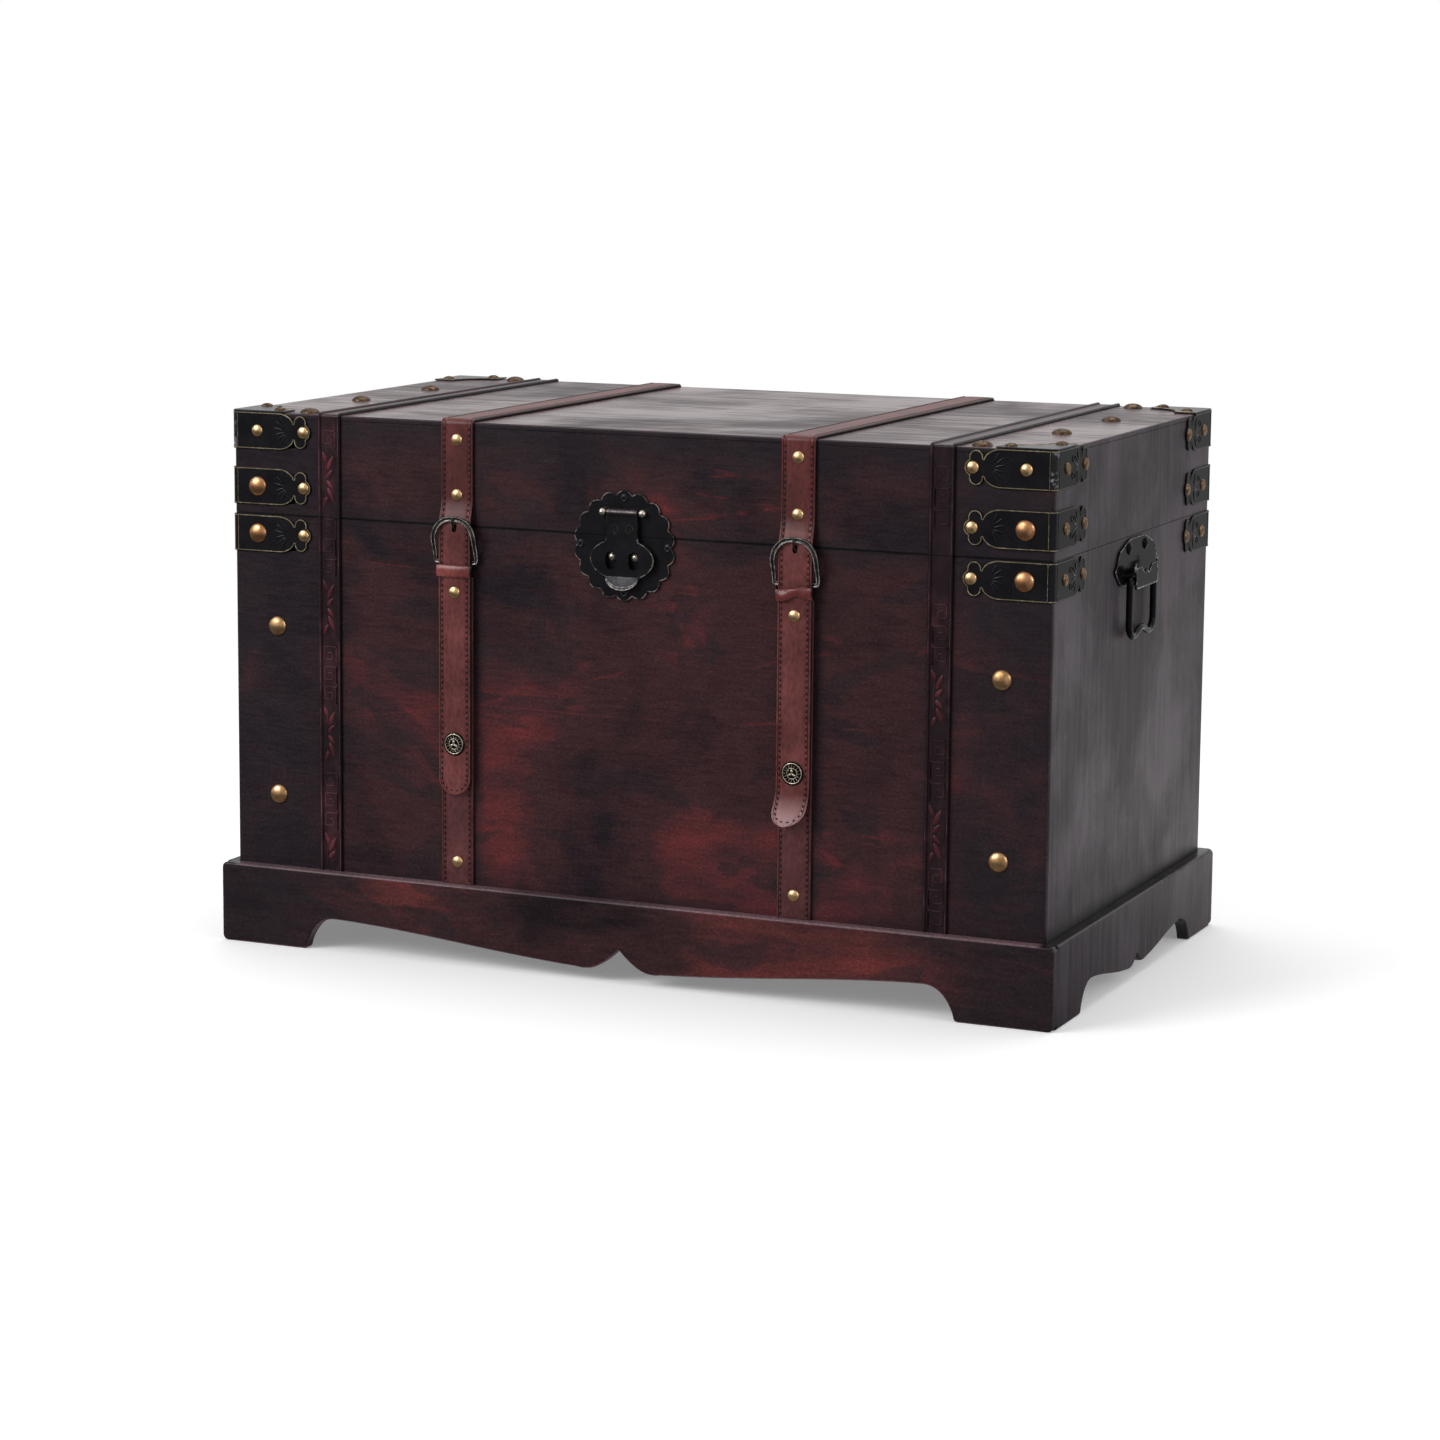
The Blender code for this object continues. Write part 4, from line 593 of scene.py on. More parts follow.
def build_stage():
    """A pale floor that keeps the chest's shadow and turns white with distance.

    What shines sees it dimmer in front of the chest than behind and beside it.
    """
    bpy.ops.mesh.primitive_plane_add(size=60.0, location=(0, 0, 0))
    floor = added("studio_floor", None)
    paper = Finish("pale_paper", 0.9)
    path = paper.add("LightPath")
    reach = paper.add("VectorMath", {0: paper.spot}, operation="LENGTH").outputs["Value"]
    far = paper.fade(paper.math("DIVIDE", reach, 4.0), 0.15, 0.42)
    paper.colour((0.86, 0.86, 0.86, 1.0))
    paper.shader.inputs["Emission Color"].default_value = (1, 1, 1, 1)
    lit = paper.times(path.outputs["Is Camera Ray"], 0.22)
    paper.feed(paper.shader.inputs["Emission Strength"], lit)
    white = paper.add("Emission", {"Color": (1, 1, 1, 1), "Strength": path.outputs["Is Camera Ray"]})
    seen = paper.add("MixShader", {0: far, 1: paper.shader.outputs[0], 2: white.outputs[0]})
    along = paper.math("DIVIDE", paper.math("ADD", paper.axis("Y"), 1.0), 4.0)
    depth = paper.ramp(along, *FLOOR_DEPTH)
    width = paper.add("MapRange", {"Value": paper.axis("X"), "From Min": 0.30, "From Max": 0.60,
                                   "To Min": 0.0, "To Max": FLOOR_RIGHT})
    mirrored = paper.most(depth, width.outputs["Result"])
    sheen = paper.add("Emission", {"Color": (1, 1, 1, 1), "Strength": mirrored})
    mixed = {0: path.outputs["Is Glossy Ray"], 1: seen.outputs[0], 2: sheen.outputs[0]}
    both = paper.add("MixShader", mixed)
    paper.feed(paper.tree.nodes["Material Output"].inputs["Surface"], both.outputs[0])
    floor.data.materials[0] = paper.material


def build_world():
    """Soft light from all round, brighter behind; the camera sees it white."""
    world = bpy.data.worlds.new("studio")
    bpy.context.scene.world = world
    world.use_nodes = True
    nodes, links = world.node_tree.nodes, world.node_tree.links
    light, white = nodes["Background"], nodes.new("ShaderNodeBackground")
    for background in (light, white):
        background.inputs["Color"].default_value = (1, 1, 1, 1)
    path, blend = nodes.new("ShaderNodeLightPath"), nodes.new("ShaderNodeMixShader")
    direction, split = nodes.new("ShaderNodeTexCoord"), nodes.new("ShaderNodeSeparateXYZ")
    behind = nodes.new("ShaderNodeMapRange")
    limits = {"From Min": -0.9, "From Max": 0.7, "To Min": WORLD_FRONT, "To Max": WORLD_BACK}
    for socket, value in limits.items():
        behind.inputs[socket].default_value = value
    links.new(direction.outputs["Generated"], split.inputs[0])
    links.new(split.outputs["Y"], behind.inputs["Value"])
    links.new(behind.outputs["Result"], light.inputs["Strength"])
    links.new(path.outputs["Is Camera Ray"], blend.inputs[0])
    links.new(light.outputs[0], blend.inputs[1])
    links.new(white.outputs[0], blend.inputs[2])
    links.new(blend.outputs[0], nodes["World Output"].inputs["Surface"])


def softbox(name, place, aim, size, power):
    lamp = bpy.data.lights.new(name, "AREA")
    lamp.shape = "SQUARE"
    lamp.size = size
    lamp.energy = power
    thing = bpy.data.objects.new(name, lamp)
    bpy.context.scene.collection.objects.link(thing)
    thing.location = place
    thing.rotation_euler = (Vector(aim) - Vector(place)).to_track_quat("-Z", "Y").to_euler()


# The photo's camera, fitted to the chest's corners: lens in millimetres, place, and turn in degrees
LENS, LENS_SHIFT = 95.96, (0.0208, -0.0417)
CAMERA_PLACE = (1.1506, -2.6331, 0.6521)
CAMERA_TURN = (81.259, -0.414, 24.208)


def build_camera():
    lens = bpy.data.cameras.new("photo_camera")
    lens.lens = LENS
    lens.sensor_width = 36.0
    lens.shift_x, lens.shift_y = LENS_SHIFT
    camera = bpy.data.objects.new("photo_camera", lens)
    bpy.context.scene.collection.objects.link(camera)
    camera.location = CAMERA_PLACE
    camera.rotation_euler = Euler([math.radians(angle) for angle in CAMERA_TURN])
    bpy.context.scene.camera = camera


# Name, place, the point it is aimed at, size in metres and power in watts
SOFTBOXES = (
    ("key_softbox", (-1.8, -2.4, 2.0), (0, 0, 0.25), 1.8, 68),
    ("right_softbox", (2.6, -0.6, 1.4), (0, 0, 0.25), 1.4, 13),
    ("top_softbox", (0.0, 0.6, 2.4), (0, 0, 0.3), 1.6, 22),
)


def build_lights():
    build_world()
    for softbox_sizes in SOFTBOXES:
        softbox(*softbox_sizes)


# Boards


def is_upright(edge):
    low, high = sorted(vert.co.z for vert in edge.verts)
    return high - low > 0.02


def is_corner(edge):
    return abs(edge.verts[0].co.z - edge.verts[1].co.z) > 1e-3


def side_box(name):
    """The box of an end board, grown to meet the boards in front of it and behind it."""
    low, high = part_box(name)
    low.y -= FIT
    high.y += FIT
    return low, high


def build_long_board(name, node, face, body):
    """A front or back board, its two outer upright edges rounded."""
    low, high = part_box(node)
    piece = board(name, low, high, WOOD)
    outward = face.out.y
    round_edges(piece, lambda edge: middle(edge).y * outward > HALF_DEPTH - 1e-4 and is_upright(edge),
                CORNER_RADIUS, 5)
    settle(piece, body, node, slot="wood_oxblood")


def build_case():
    """The box of boards; the end boards' upper edges are eased at the seam."""
    for side, face in LONG_FACES:
        build_long_board(f"{side}_panel", f"case_{side}_panel", face, "case")
    for side in ("left", "right"):
        name = f"case_{side}_panel"
        piece = board(f"{side}_panel", *side_box(name), WOOD)
        round_edges(piece, lambda edge: abs(middle(edge).x) > HALF_LENGTH - 1e-4
                    and abs(middle(edge).y) < 0.01 and middle(edge).z > SEAM - 0.01, 0.0006, 2)
        settle(piece, "case", name, slot="wood_oxblood")
    low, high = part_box("case_bottom_board")
    piece = board("bottom_board", low, high, WOOD)
    round_edges(piece, lambda edge: True, 0.0006, 2)
    settle(piece, "case", "case_bottom_board", slot="wood_oxblood")


def build_lid_boards():
    for side, face in LONG_FACES:
        build_long_board(f"lid_{side}", f"lid_{side}_board", face, "lid")
    for side in ("left", "right"):
        name = f"lid_{side}_board"
        settle(board(f"lid_{side}", *side_box(name), WOOD), "lid", name, slot="wood_oxblood")
    low, high = Vector(TOP_LOW), Vector(TOP_HIGH)
    high.z = LID_TOP
    piece = board("lid_top", low, high, WOOD)
    round_edges(piece, is_corner, CORNER_RADIUS, 5)
    round_edges(piece, lambda edge: min(vert.co.z for vert in edge.verts) > LID_TOP - 1e-5, TOP_EDGE, 3)
    settle(piece, "lid", "lid_top_board", slot="wood_oxblood")


# Plinth

# Length of a foot; of the sawn edge, the heights of its arch, lobe and notch, and half the notch's width
FRONT_FOOT = 0.0730
SIDE_FOOT = 0.0620
FRONT_SKIRT = (0.0245, 0.0095, 0.0255, 0.024)
SIDE_SKIRT = (0.0205, 0.0090, 0.0170, 0.0125)
SKIRT_EDGE = 0.0020
QUICK_CURVE = 0.0235
FOOT_ROUND = 0.0030


def skirt_outline(half, foot, rises, corner=0.0042):
    """The sawn lower edge: a foot, a quick curve up, a long swelling slope, a lobe and a notch."""
    arch, lobe, notch, reach = rises
    inner = half - foot
    arch_end = inner - QUICK_CURVE
    right = [(inner + FOOT_ROUND, 0.0)]
    right += arc(inner + FOOT_ROUND, FOOT_ROUND, FOOT_ROUND, 262, 200, 4)
    foot_a, foot_b = right[-1]
    steps = 12
    for i in range(1, steps + 1):
        t = i / steps
        lift = 1 - (1 - t) ** 2.2
        right.append((foot_a + (arch_end - foot_a) * t ** 1.25, foot_b + (arch - foot_b) * lift))
    slope_end = reach + 0.010
    for i in range(1, 21):
        t = i / 20
        drop = 0.5 * (1 - math.cos(math.pi * t))
        share = 0.42 * drop + 0.58 * t ** 1.15
        right.append((arch_end + (slope_end - arch_end) * t, arch + (lobe - arch) * share))
    right.append((reach + 0.005, lobe - 0.0006))
    for i in range(0, 9):
        t = i / 8
        right.append((reach * (1 - t), lobe - 0.0003 + (notch - lobe) * t ** 1.6))
    left = [(-a, b) for a, b in reversed(right[:-1])]
    if corner:
        end = arc(half - corner, corner, corner, 0, -90, 4)[::-1]
        end += arc(half - corner, PLINTH_TOP - corner, corner, 0, 90, 5)
    else:
        end = [(half, 0.0), (half, PLINTH_TOP)]
    return right + left + [(-a, b) for a, b in end] + end[::-1]


def build_plinth():
    """Front and back boards with rounded corners over the whole length, and side boards between them."""
    for side, face in LONG_FACES:
        reach = PLINTH_HALF_DEPTH - HALF_DEPTH
        outline = skirt_outline(PLINTH_HALF_LENGTH, FRONT_FOOT, FRONT_SKIRT)
        piece = plate(f"skirt_{side}", face, outline, reach - PLINTH_BOARD, reach, PLINTH_WOOD,
                      SKIRT_EDGE, None, 4)
        settle(piece, "case", f"plinth_{side}", slot="wood_dark")
    for side, face in END_FACES:
        reach = PLINTH_HALF_LENGTH - HALF_LENGTH
        half = PLINTH_HALF_DEPTH - PLINTH_BOARD
        outline = skirt_outline(half, SIDE_FOOT - PLINTH_BOARD, SIDE_SKIRT, 0.0)
        piece = plate(f"skirt_{side}", face, outline, reach - PLINTH_BOARD, reach, PLINTH_WOOD,
                      SKIRT_EDGE, lambda spot: abs(spot.y) > half - 1e-4, 4)
        settle(piece, "case", f"plinth_{side}", slot="wood_dark")


# Shared small shapes


def sleeve(name, rings, material, loop=False):
    """A grid rolled up through rings of points into a closed bar; with loop set, its two ends meet."""
    rows = [[*ring, ring[0]] for ring in rings]
    if loop:
        rows.append(rows[0])
    across, along = len(rows[0]) - 1, len(rows) - 1
    bpy.ops.mesh.primitive_grid_add(x_subdivisions=across, y_subdivisions=along, size=1.0)
    piece = added(name, material)
    for point, place in zip(piece.data.vertices, [place for row in rows for place in row]):
        point.co = place
    bpy.ops.object.mode_set(mode="EDIT")
    bpy.ops.mesh.select_all(action="SELECT")
    bpy.ops.mesh.remove_doubles(threshold=0.000002)
    if not loop:
        pick(piece, "EDGE", lambda edge: edge.is_boundary)
        bpy.ops.mesh.fill_holes(sides=0)
    bpy.ops.mesh.select_all(action="SELECT")
    bpy.ops.mesh.normals_make_consistent(inside=False)
    bpy.ops.object.mode_set(mode="OBJECT")
    return piece


def bar(name, path, sections, material, loop=False):
    """A bar along a path of points, whose cross-sections lie square to it."""
    count = len(path)
    rings = []
    for i, place in enumerate(path):
        before = path[i - 1] if i or loop else path[i]
        after = path[(i + 1) % count] if i < count - 1 or loop else path[i]
        rings.append([place + offset for offset in sections(i, (after - before).normalized())])
    return sleeve(name, rings, material, loop)


def wire(name, face, points, height, radius, material, closed=False, sides=6):
    """A thin round line laid on a face, half sunk into it."""
    path = [face.point(a, b, height) for a, b in points]

    def section(i, along):
        return oval(along.cross(face.out), face.out, radius, radius, sides)

    return bar(name, path, section, material, closed)


def copied(piece, name, place):
    """A copy with its own mesh, carried to its place."""
    twin = piece.copy()
    twin.data = piece.data.copy()
    twin.data.transform(place)
    if place.determinant() < 0:
        twin.data.flip_normals()
    twin.name = name
    twin.data.name = name
    bpy.context.scene.collection.objects.link(twin)
    return twin


def joined(name, pieces):
    """Several pieces made one, each with its material."""
    alone(pieces[0])
    for piece in pieces:
        piece.select_set(True)
    if len(pieces) > 1:
        bpy.ops.object.join()
    whole = bpy.context.object
    whole.name = name
    whole.data.name = name
    return whole


def cut_out(piece, cutter):
    """Cut a helper's shape out of a piece, and remove the helper."""
    alone(piece)
    cut = piece.modifiers.new("Cut", "BOOLEAN")
    cut.operation = "DIFFERENCE"
    cut.solver = "EXACT"
    cut.object = cutter
    bpy.ops.object.modifier_apply(modifier="Cut")
    bpy.data.objects.remove(cutter, do_unlink=True)


def dome_head(name, radius, rise, material, dents=0.0, segments=28):
    """A nail head facing +Z: the top of a ball, flattened; dents roughens it as a hammer does."""
    bpy.ops.mesh.primitive_uv_sphere_add(segments=segments, ring_count=segments // 2, radius=1.0)
    piece = added(name, material)
    bpy.ops.object.mode_set(mode="EDIT")
    bpy.ops.mesh.select_all(action="SELECT")
    bpy.ops.mesh.bisect(plane_co=(0, 0, 0.05), plane_no=(0, 0, 1), use_fill=True, clear_inner=True)
    bpy.ops.object.mode_set(mode="OBJECT")
    hammer = random.Random(7)
    for point in piece.data.vertices:
        x, y, z = point.co
        knock = 1.0 + dents * (hammer.random() - 0.5)
        point.co = (x * radius, y * radius, (z - 0.05) / 0.95 * rise * knock)
    return piece


def leaf_shape(name, length, width, rise, material, subdivisions=2):
    """A small raised leaf lying along Y: a ball drawn out, flattened and narrowed towards its tip."""
    bpy.ops.mesh.primitive_ico_sphere_add(subdivisions=subdivisions, radius=1.0)
    piece = added(name, material)
    for point in piece.data.vertices:
        x, y, z = point.co
        narrow = 1.0 - 0.45 * max(y, 0.0)
        point.co = (x * width / 2 * narrow, y * length / 2, z * rise)
    return piece


# Nails: the radius and the height of their heads

NAIL = {"small": (0.0045, 0.0021), "big": (0.0073, 0.0034)}


PATTERN = {}


def build_patterns():
    """What repeats, modelled once: nails, leaves, beads, stitches and screws."""
    return {
        "small": dome_head("small_nail_pattern", *NAIL["small"], BRIGHT_BRASS, 0.0, 24),
        "big": dome_head("big_nail_pattern", *NAIL["big"], COPPER_BRASS, 0.0, 32),
        "gold_big": dome_head("gold_nail_pattern", *NAIL["big"], GOLD_BRASS, 0.02, 32),
        "dull": dome_head("dull_nail_pattern", *NAIL["small"], SHADED_SIDE_BRASS, 0.02, 24),
        "top_big": dome_head("top_nail_pattern", *NAIL["big"], SHADED_TOP_BRASS, 0.03, 32),
        "top_small": dome_head("top_small_nail_pattern", *NAIL["small"], SHADED_TOP_BRASS, 0.03, 24),
        "dark": dome_head("dark_nail_pattern", *NAIL["small"], GLOSS_BLACK, 0.0, 20),
        "leaf": leaf_shape("leaf_pattern", 0.0122, 0.0042, 0.0010, TRIM_LEAF, 2),
        "small_leaf": leaf_shape("small_leaf_pattern", 0.0084, 0.0036, 0.0009, TRIM_LEAF, 2),
        "petal": leaf_shape("petal_pattern", 0.0095, 0.0020, 0.0006, BLACK_METAL, 2),
        "bead": leaf_shape("bead_pattern", 0.0028, 0.0010, 0.0014, ANTIQUE_SILVER, 1),
        "rosette": leaf_shape("rosette_pattern", 0.0034, 0.0021, 0.0014, ANTIQUE_SILVER, 2),
        "stitch": leaf_shape("stitch_pattern", 0.0031, 0.0014, 0.00055, THREAD, 1),
        "screw": build_screw_pattern(),
    }


def build_screw_pattern():
    """A low round screw head with a ring round a dark hollow."""
    head = dome_head("screw_head", 0.0030, 0.0006, BLACK_METAL, 0.0, 20)
    bpy.ops.mesh.primitive_torus_add(major_radius=0.0018, minor_radius=0.00036, major_segments=20,
                                     minor_segments=8, location=(0, 0, 0.0006))
    ring = added("screw_ring", SCREW_RIM)
    bpy.ops.object.transform_apply(location=True, rotation=True, scale=True)
    return joined("screw_pattern", [head, ring])


def stud(kind, name, face, a, b, height, turn=0.0):
    """A copy of one of the patterns, laid on a face."""
    return copied(PATTERN[kind], name, face.matrix(a, b, height, turn))


def build_board_nails():
    """The four large nails low on the front, and the eight along the ends of the lid top."""
    for side in ("left", "right"):
        for level in ("lower", "upper"):
            low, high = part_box(f"front_nail_{side}_{level}")
            centre = (low + high) / 2
            nail = stud("gold_big", f"large_nail_{side}_{level}", FRONT, centre.x, centre.z, 0.0)
            settle(nail, "case", f"front_nail_{side}_{level}", slot="copper_brass", angle=60)
    wing_edge = HALF_LENGTH - WING_LEG
    beside_wing = (wing_edge + STRIP_CENTRE + STRIP_HALF) / 2
    between = HALF_LENGTH - 0.0385
    reach = HALF_DEPTH - 0.0127
    nails = []
    for side in (-1, 1):
        for share in (-1, -1 / 3, 1 / 3, 1):
            a = beside_wing if abs(share) == 1 else between
            nails.append(stud("top_big", "lid_top_nail", TOP, side * a, share * reach, 0.0))
    settle(joined("lid_top_nails", nails), "lid", slot="copper_brass", angle=60)


# Bands that run over the lid

BACK_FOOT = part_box("lid_strap_left")[0].z


def lid_stations(foot_front, foot_back, bend):
    """Points and outward directions up the lid's front, over its top and down its back."""
    fold = 6
    stations = [((-HALF_DEPTH, foot_front), 180.0)]
    for way, first in ((-1, 180.0), (1, 90.0)):
        for i in range(fold + 1):
            turn = math.radians(first - 90.0 * i / fold)
            y = way * (HALF_DEPTH - bend) + bend * math.cos(turn)
            z = LID_TOP - bend + bend * math.sin(turn)
            stations.append(((y, z), math.degrees(turn)))
    stations.append(((HALF_DEPTH, foot_back), 0.0))
    return stations


def band_rings(centre, profile, stations):
    """A cross-section (across, height) set square to the lid at each station round it."""
    rings = []
    for (y, z), angle in stations:
        out = Vector((0, math.cos(math.radians(angle)), math.sin(math.radians(angle))))
        rings.append([Vector((centre + a, y, z)) + out * h for a, h in profile])
    return rings


def strip_rings(centre, profile, low, high):
    """The same cross-section at the foot and the head of a strip up the front."""
    return [[FRONT.point(centre + a, b, h) for a, h in profile] for b in (low.z, high.z)]


# Embossed trim

GROUND = 0.0008  # thickness of the strip between its beads
PERIOD = 0.0950  # from one sprig to the next
SPRIG_HALF = 0.0235  # half the length that a sprig and the gaps beside it take up
FIRST_SPRIG = {"left": 0.2580, "right": 0.2250}


def trim_section():
    """Half-round beads along both edges, and a shallow flat ground between them."""
    bead, wide = 0.0014, 0.0024
    section = [(-STRIP_HALF, FIT)]
    left = arc(-STRIP_HALF + wide / 2, 0.0, wide / 2, 180, 0, 6)
    section += [(a, GROUND + b / (wide / 2) * bead) for a, b in left]
    section += [(-a, h) for a, h in reversed(section[1:])]
    section.append((STRIP_HALF, FIT))
    return section


def key_bars(face, centre, b_low, b_high, flip):
    """A row of square spirals, each drawn with one raised line of straight bars."""
    pitch, half, line = 0.0150, 0.0050, 0.0010
    top, foot, heart = (share * pitch / 0.0122 for share in (0.0098, 0.0022, 0.0062))
    bars = []
    count = max(1, round((b_high - b_low) / pitch))
    for i in range(count):
        low = b_low + i * pitch
        turn = [(-half, low), (-half, low + top), (half, low + top), (half, low + foot),
                (-0.0016, low + foot), (-0.0016, low + heart), (0.0018, low + heart)]
        if i < count - 1:
            turn.insert(0, (-half, low + pitch))
        for (a1, b1), (a2, b2) in zip(turn, turn[1:]):
            a_low, a_high = sorted((flip * a1, flip * a2))
            low_b, high_b = sorted((b1, b2))
            rise = line / 2
            outline = [(centre + a_low - rise, low_b - rise), (centre + a_high + rise, low_b - rise),
                       (centre + a_high + rise, high_b + rise), (centre + a_low - rise, high_b + rise)]
            bars.append(plate("key_bar", face, outline, 0.0006, 0.0013, TRIM_KEY, 0.0003, None, 1))
    return bars


# The leaves of a sprig: kind, place across and along the strip, and turn in degrees
SPRIG = (("leaf", 0.0006, 0.0118, -26), ("small_leaf", 0.0000, 0.0040, -42),
         ("small_leaf", 0.0004, -0.0040, 222), ("leaf", 0.0010, -0.0118, 206),
         ("small_leaf", -0.0040, 0.0165, 24), ("small_leaf", -0.0036, -0.0165, 156))


def leaf_spray(face, centre, b_middle, foot):
    """A sprig: leaves swept up and down from a bowed stem, cut off below the strip's foot."""
    parts = [stud(kind, "trim_leaf", face, centre + a, b_middle + b, GROUND, math.radians(turn))
             for kind, a, b, turn in SPRIG if b_middle + b - 0.0060 > foot]
    steps = [i / 6 - 1 for i in range(13)]
    stem = [(centre - 0.0036 + 0.0016 * (t * t), b_middle + 0.0165 * t) for t in steps]
    stem = [(a, b) for a, b in stem if b - 0.0010 > foot]
    parts.append(wire("trim_stem", face, stem, GROUND, 0.0005, TRIM_KEY))
    return parts


def pattern_run(face, centre, start, end, first_spray, flip):
    """Sprigs at their places along a strip, with keys between them where there is room."""
    raised = []
    first = math.floor((start - first_spray) / PERIOD)
    for k in range(first, first + int((end - start) / PERIOD) + 3):
        spray = first_spray + k * PERIOD
        if spray > start and spray + 0.0185 < end:
            raised += leaf_spray(face, centre, spray, start)
        low = max(spray + SPRIG_HALF, start + 0.003)
        high = min(spray + PERIOD - SPRIG_HALF, end - 0.003)
        if high - low > 0.012:
            raised += key_bars(face, centre, low, high, flip)
    return raised


def crest_highlight_lines(face, centre, start, end):
    """Painted highlights: thin lighter lines along the crests of the two beads."""
    crest = STRIP_HALF - 0.0012
    return [wire("trim_crest_highlight", face, [(a, start), (a, end)], 0.0021, 0.00042, TRIM_CREST_HIGHLIGHT)
            for a in (centre - crest, centre + crest)]


def build_trims():
    section = trim_section()
    for side, flip in SIDES:
        centre = flip * STRIP_CENTRE
        low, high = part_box(f"case_trim_{side}")
        rings = strip_rings(centre, section, low, high)
        strip = sleeve(f"case_trim_{side}_ground", rings, TRIM_GROUND)
        first = FIRST_SPRIG[side]
        raised = pattern_run(FRONT, centre, low.z, high.z, first, flip)
        raised += crest_highlight_lines(FRONT, centre, low.z, high.z)
        settle(joined(f"case_trim_{side}_strip", [strip, *raised]), "case", f"case_trim_{side}",
               slot="embossed_trim")
        raised = []
        lid_foot, edge = high.z + FIT, LID_TOP - 0.001
        rings = band_rings(centre, section, lid_stations(lid_foot, BACK_FOOT, 0.0012))
        strip = sleeve(f"lid_trim_{side}_ground", rings, TRIM_GROUND)
        for face, a, foot in ((FRONT, centre, lid_foot), (BACK, -centre, BACK_FOOT)):
            raised += pattern_run(face, a, foot, edge, first + PERIOD, flip)
            raised += crest_highlight_lines(face, a, foot, edge)
        settle(joined(f"lid_trim_{side}_strip", [strip, *raised]), "lid", f"lid_trim_{side}",
               slot="embossed_trim")


# Leather straps

FLEX = TAIL_HIGH.z + FIT / 2
TAIL_BACK = 0.0047  # how far the tail's back hangs off the wood
TIP_REACH = 0.0115  # length of the tail's rounded tip
CURL_REACH = 0.0260  # length over which the tip curls away from the wood
TIP_CURL = {"left": 0.0006, "right": 0.0065}
TIP_SWAY = {"left": 0.0, "right": -0.0045}
LEATHER = 0.0020
ON_STRAP = FIT + LEATHER
# Heights of the strap's nails: on the case above the plinth, on the lid above the seam and below the top,
# and on the tail below the seam
CASE_NAIL = PLINTH_TOP + 0.0165
LID_NAILS = (SEAM + 0.0225, LID_TOP - 0.0130)
TAIL_NAIL = SEAM - 0.048
STITCH_PITCH = 0.0042
STITCH_INSET = 0.0030


def strap_section():
    """Rounded edges, a pressed crease near each edge and a soft crown in the middle."""
    half = STRAP_HALF
    side = [(-half + 0.0004, 0.0), (-half, 0.0005), (-half, LEATHER - 0.0007),
            (-half + 0.0004, LEATHER - 0.0002), (-half + 0.0010, LEATHER), (-half + 0.0015, LEATHER),
            (-half + 0.0018, LEATHER - 0.00035), (-half + 0.0021, LEATHER),
            (-half + 0.0034, LEATHER - 0.00005), (-half + 0.0040, LEATHER - 0.00035),
            (-half + 0.0046, LEATHER)]
    crown = [(-half * 0.35, LEATHER + 0.00012), (half * 0.35, LEATHER + 0.00012)]
    return side + crown + [(-a, h) for a, h in reversed(side)]


BOW_TOP = FLEX + 0.0090
BOW_FOOT = FLEX - 0.0140


def strap_back(z):
    """How far the strap's back stands off the wood: it bows out from the lid over the buckle's foot."""
    share = min(max((BOW_TOP - z) / (BOW_TOP - BOW_FOOT), 0.0), 1.0)
    return FIT + (TAIL_BACK - FIT) * share * share * (3 - 2 * share)


def tip_lift(z, curl):
    """How far the tail's tip has curled away from the wood."""
    share = (TAIL_END + CURL_REACH - z) / CURL_REACH
    return curl * max(0.0, share) ** 2


def tip_sway(z, sway):
    """How far the tail's tip has turned aside."""
    return sway * max(0.0, 1.0 - (z - TAIL_END) / 0.030) ** 2


def tail_path(curl):
    """Heights above the wood down the tail: out round the buckle, flat, and curled at the tip."""
    rows = []
    for i in range(1, 12):
        z = BOW_TOP + (BOW_FOOT - BOW_TOP) * i / 12
        rows.append((z, strap_back(z)))
    steps = 14
    start, end = FLEX - 0.016, TAIL_END + 0.040
    for i in range(steps + 1):
        rows.append((start + (end - start) * i / steps, TAIL_BACK))
    bend = TAIL_END + TIP_REACH
    heights = [end + (bend - end) * i / 9 for i in range(1, 10)]
    heights += [bend - TIP_REACH * math.sin(math.pi / 2 * i / 10) for i in range(1, 11)]
    rows += [(z, TAIL_BACK + tip_lift(z, curl)) for z in heights]
    return rows


def tip_half(z):
    """Half the tail's width, rounded off at its tip."""
    rise = (z - TAIL_END) / TIP_REACH
    if rise >= 1.0:
        return STRAP_HALF
    return max(0.0012, STRAP_HALF * math.sqrt(max(0.0, 1.0 - (1.0 - rise) ** 2)))


def build_straps():
    for side, way in SIDES:
        centre = way * STRAP_CENTRE
        build_case_strap(side, centre)
        build_long_strap(side, centre)


def stitches(face, a, start, end, height):
    """A row of short stitches up a face; height gives how far out each one lies."""
    count = int(abs(end - start) / STITCH_PITCH)
    spots = [start + (end - start) * (i + 0.5) / count for i in range(count)]
    return [stud("stitch", "stitch", face, a, b, height(b)) for b in spots]


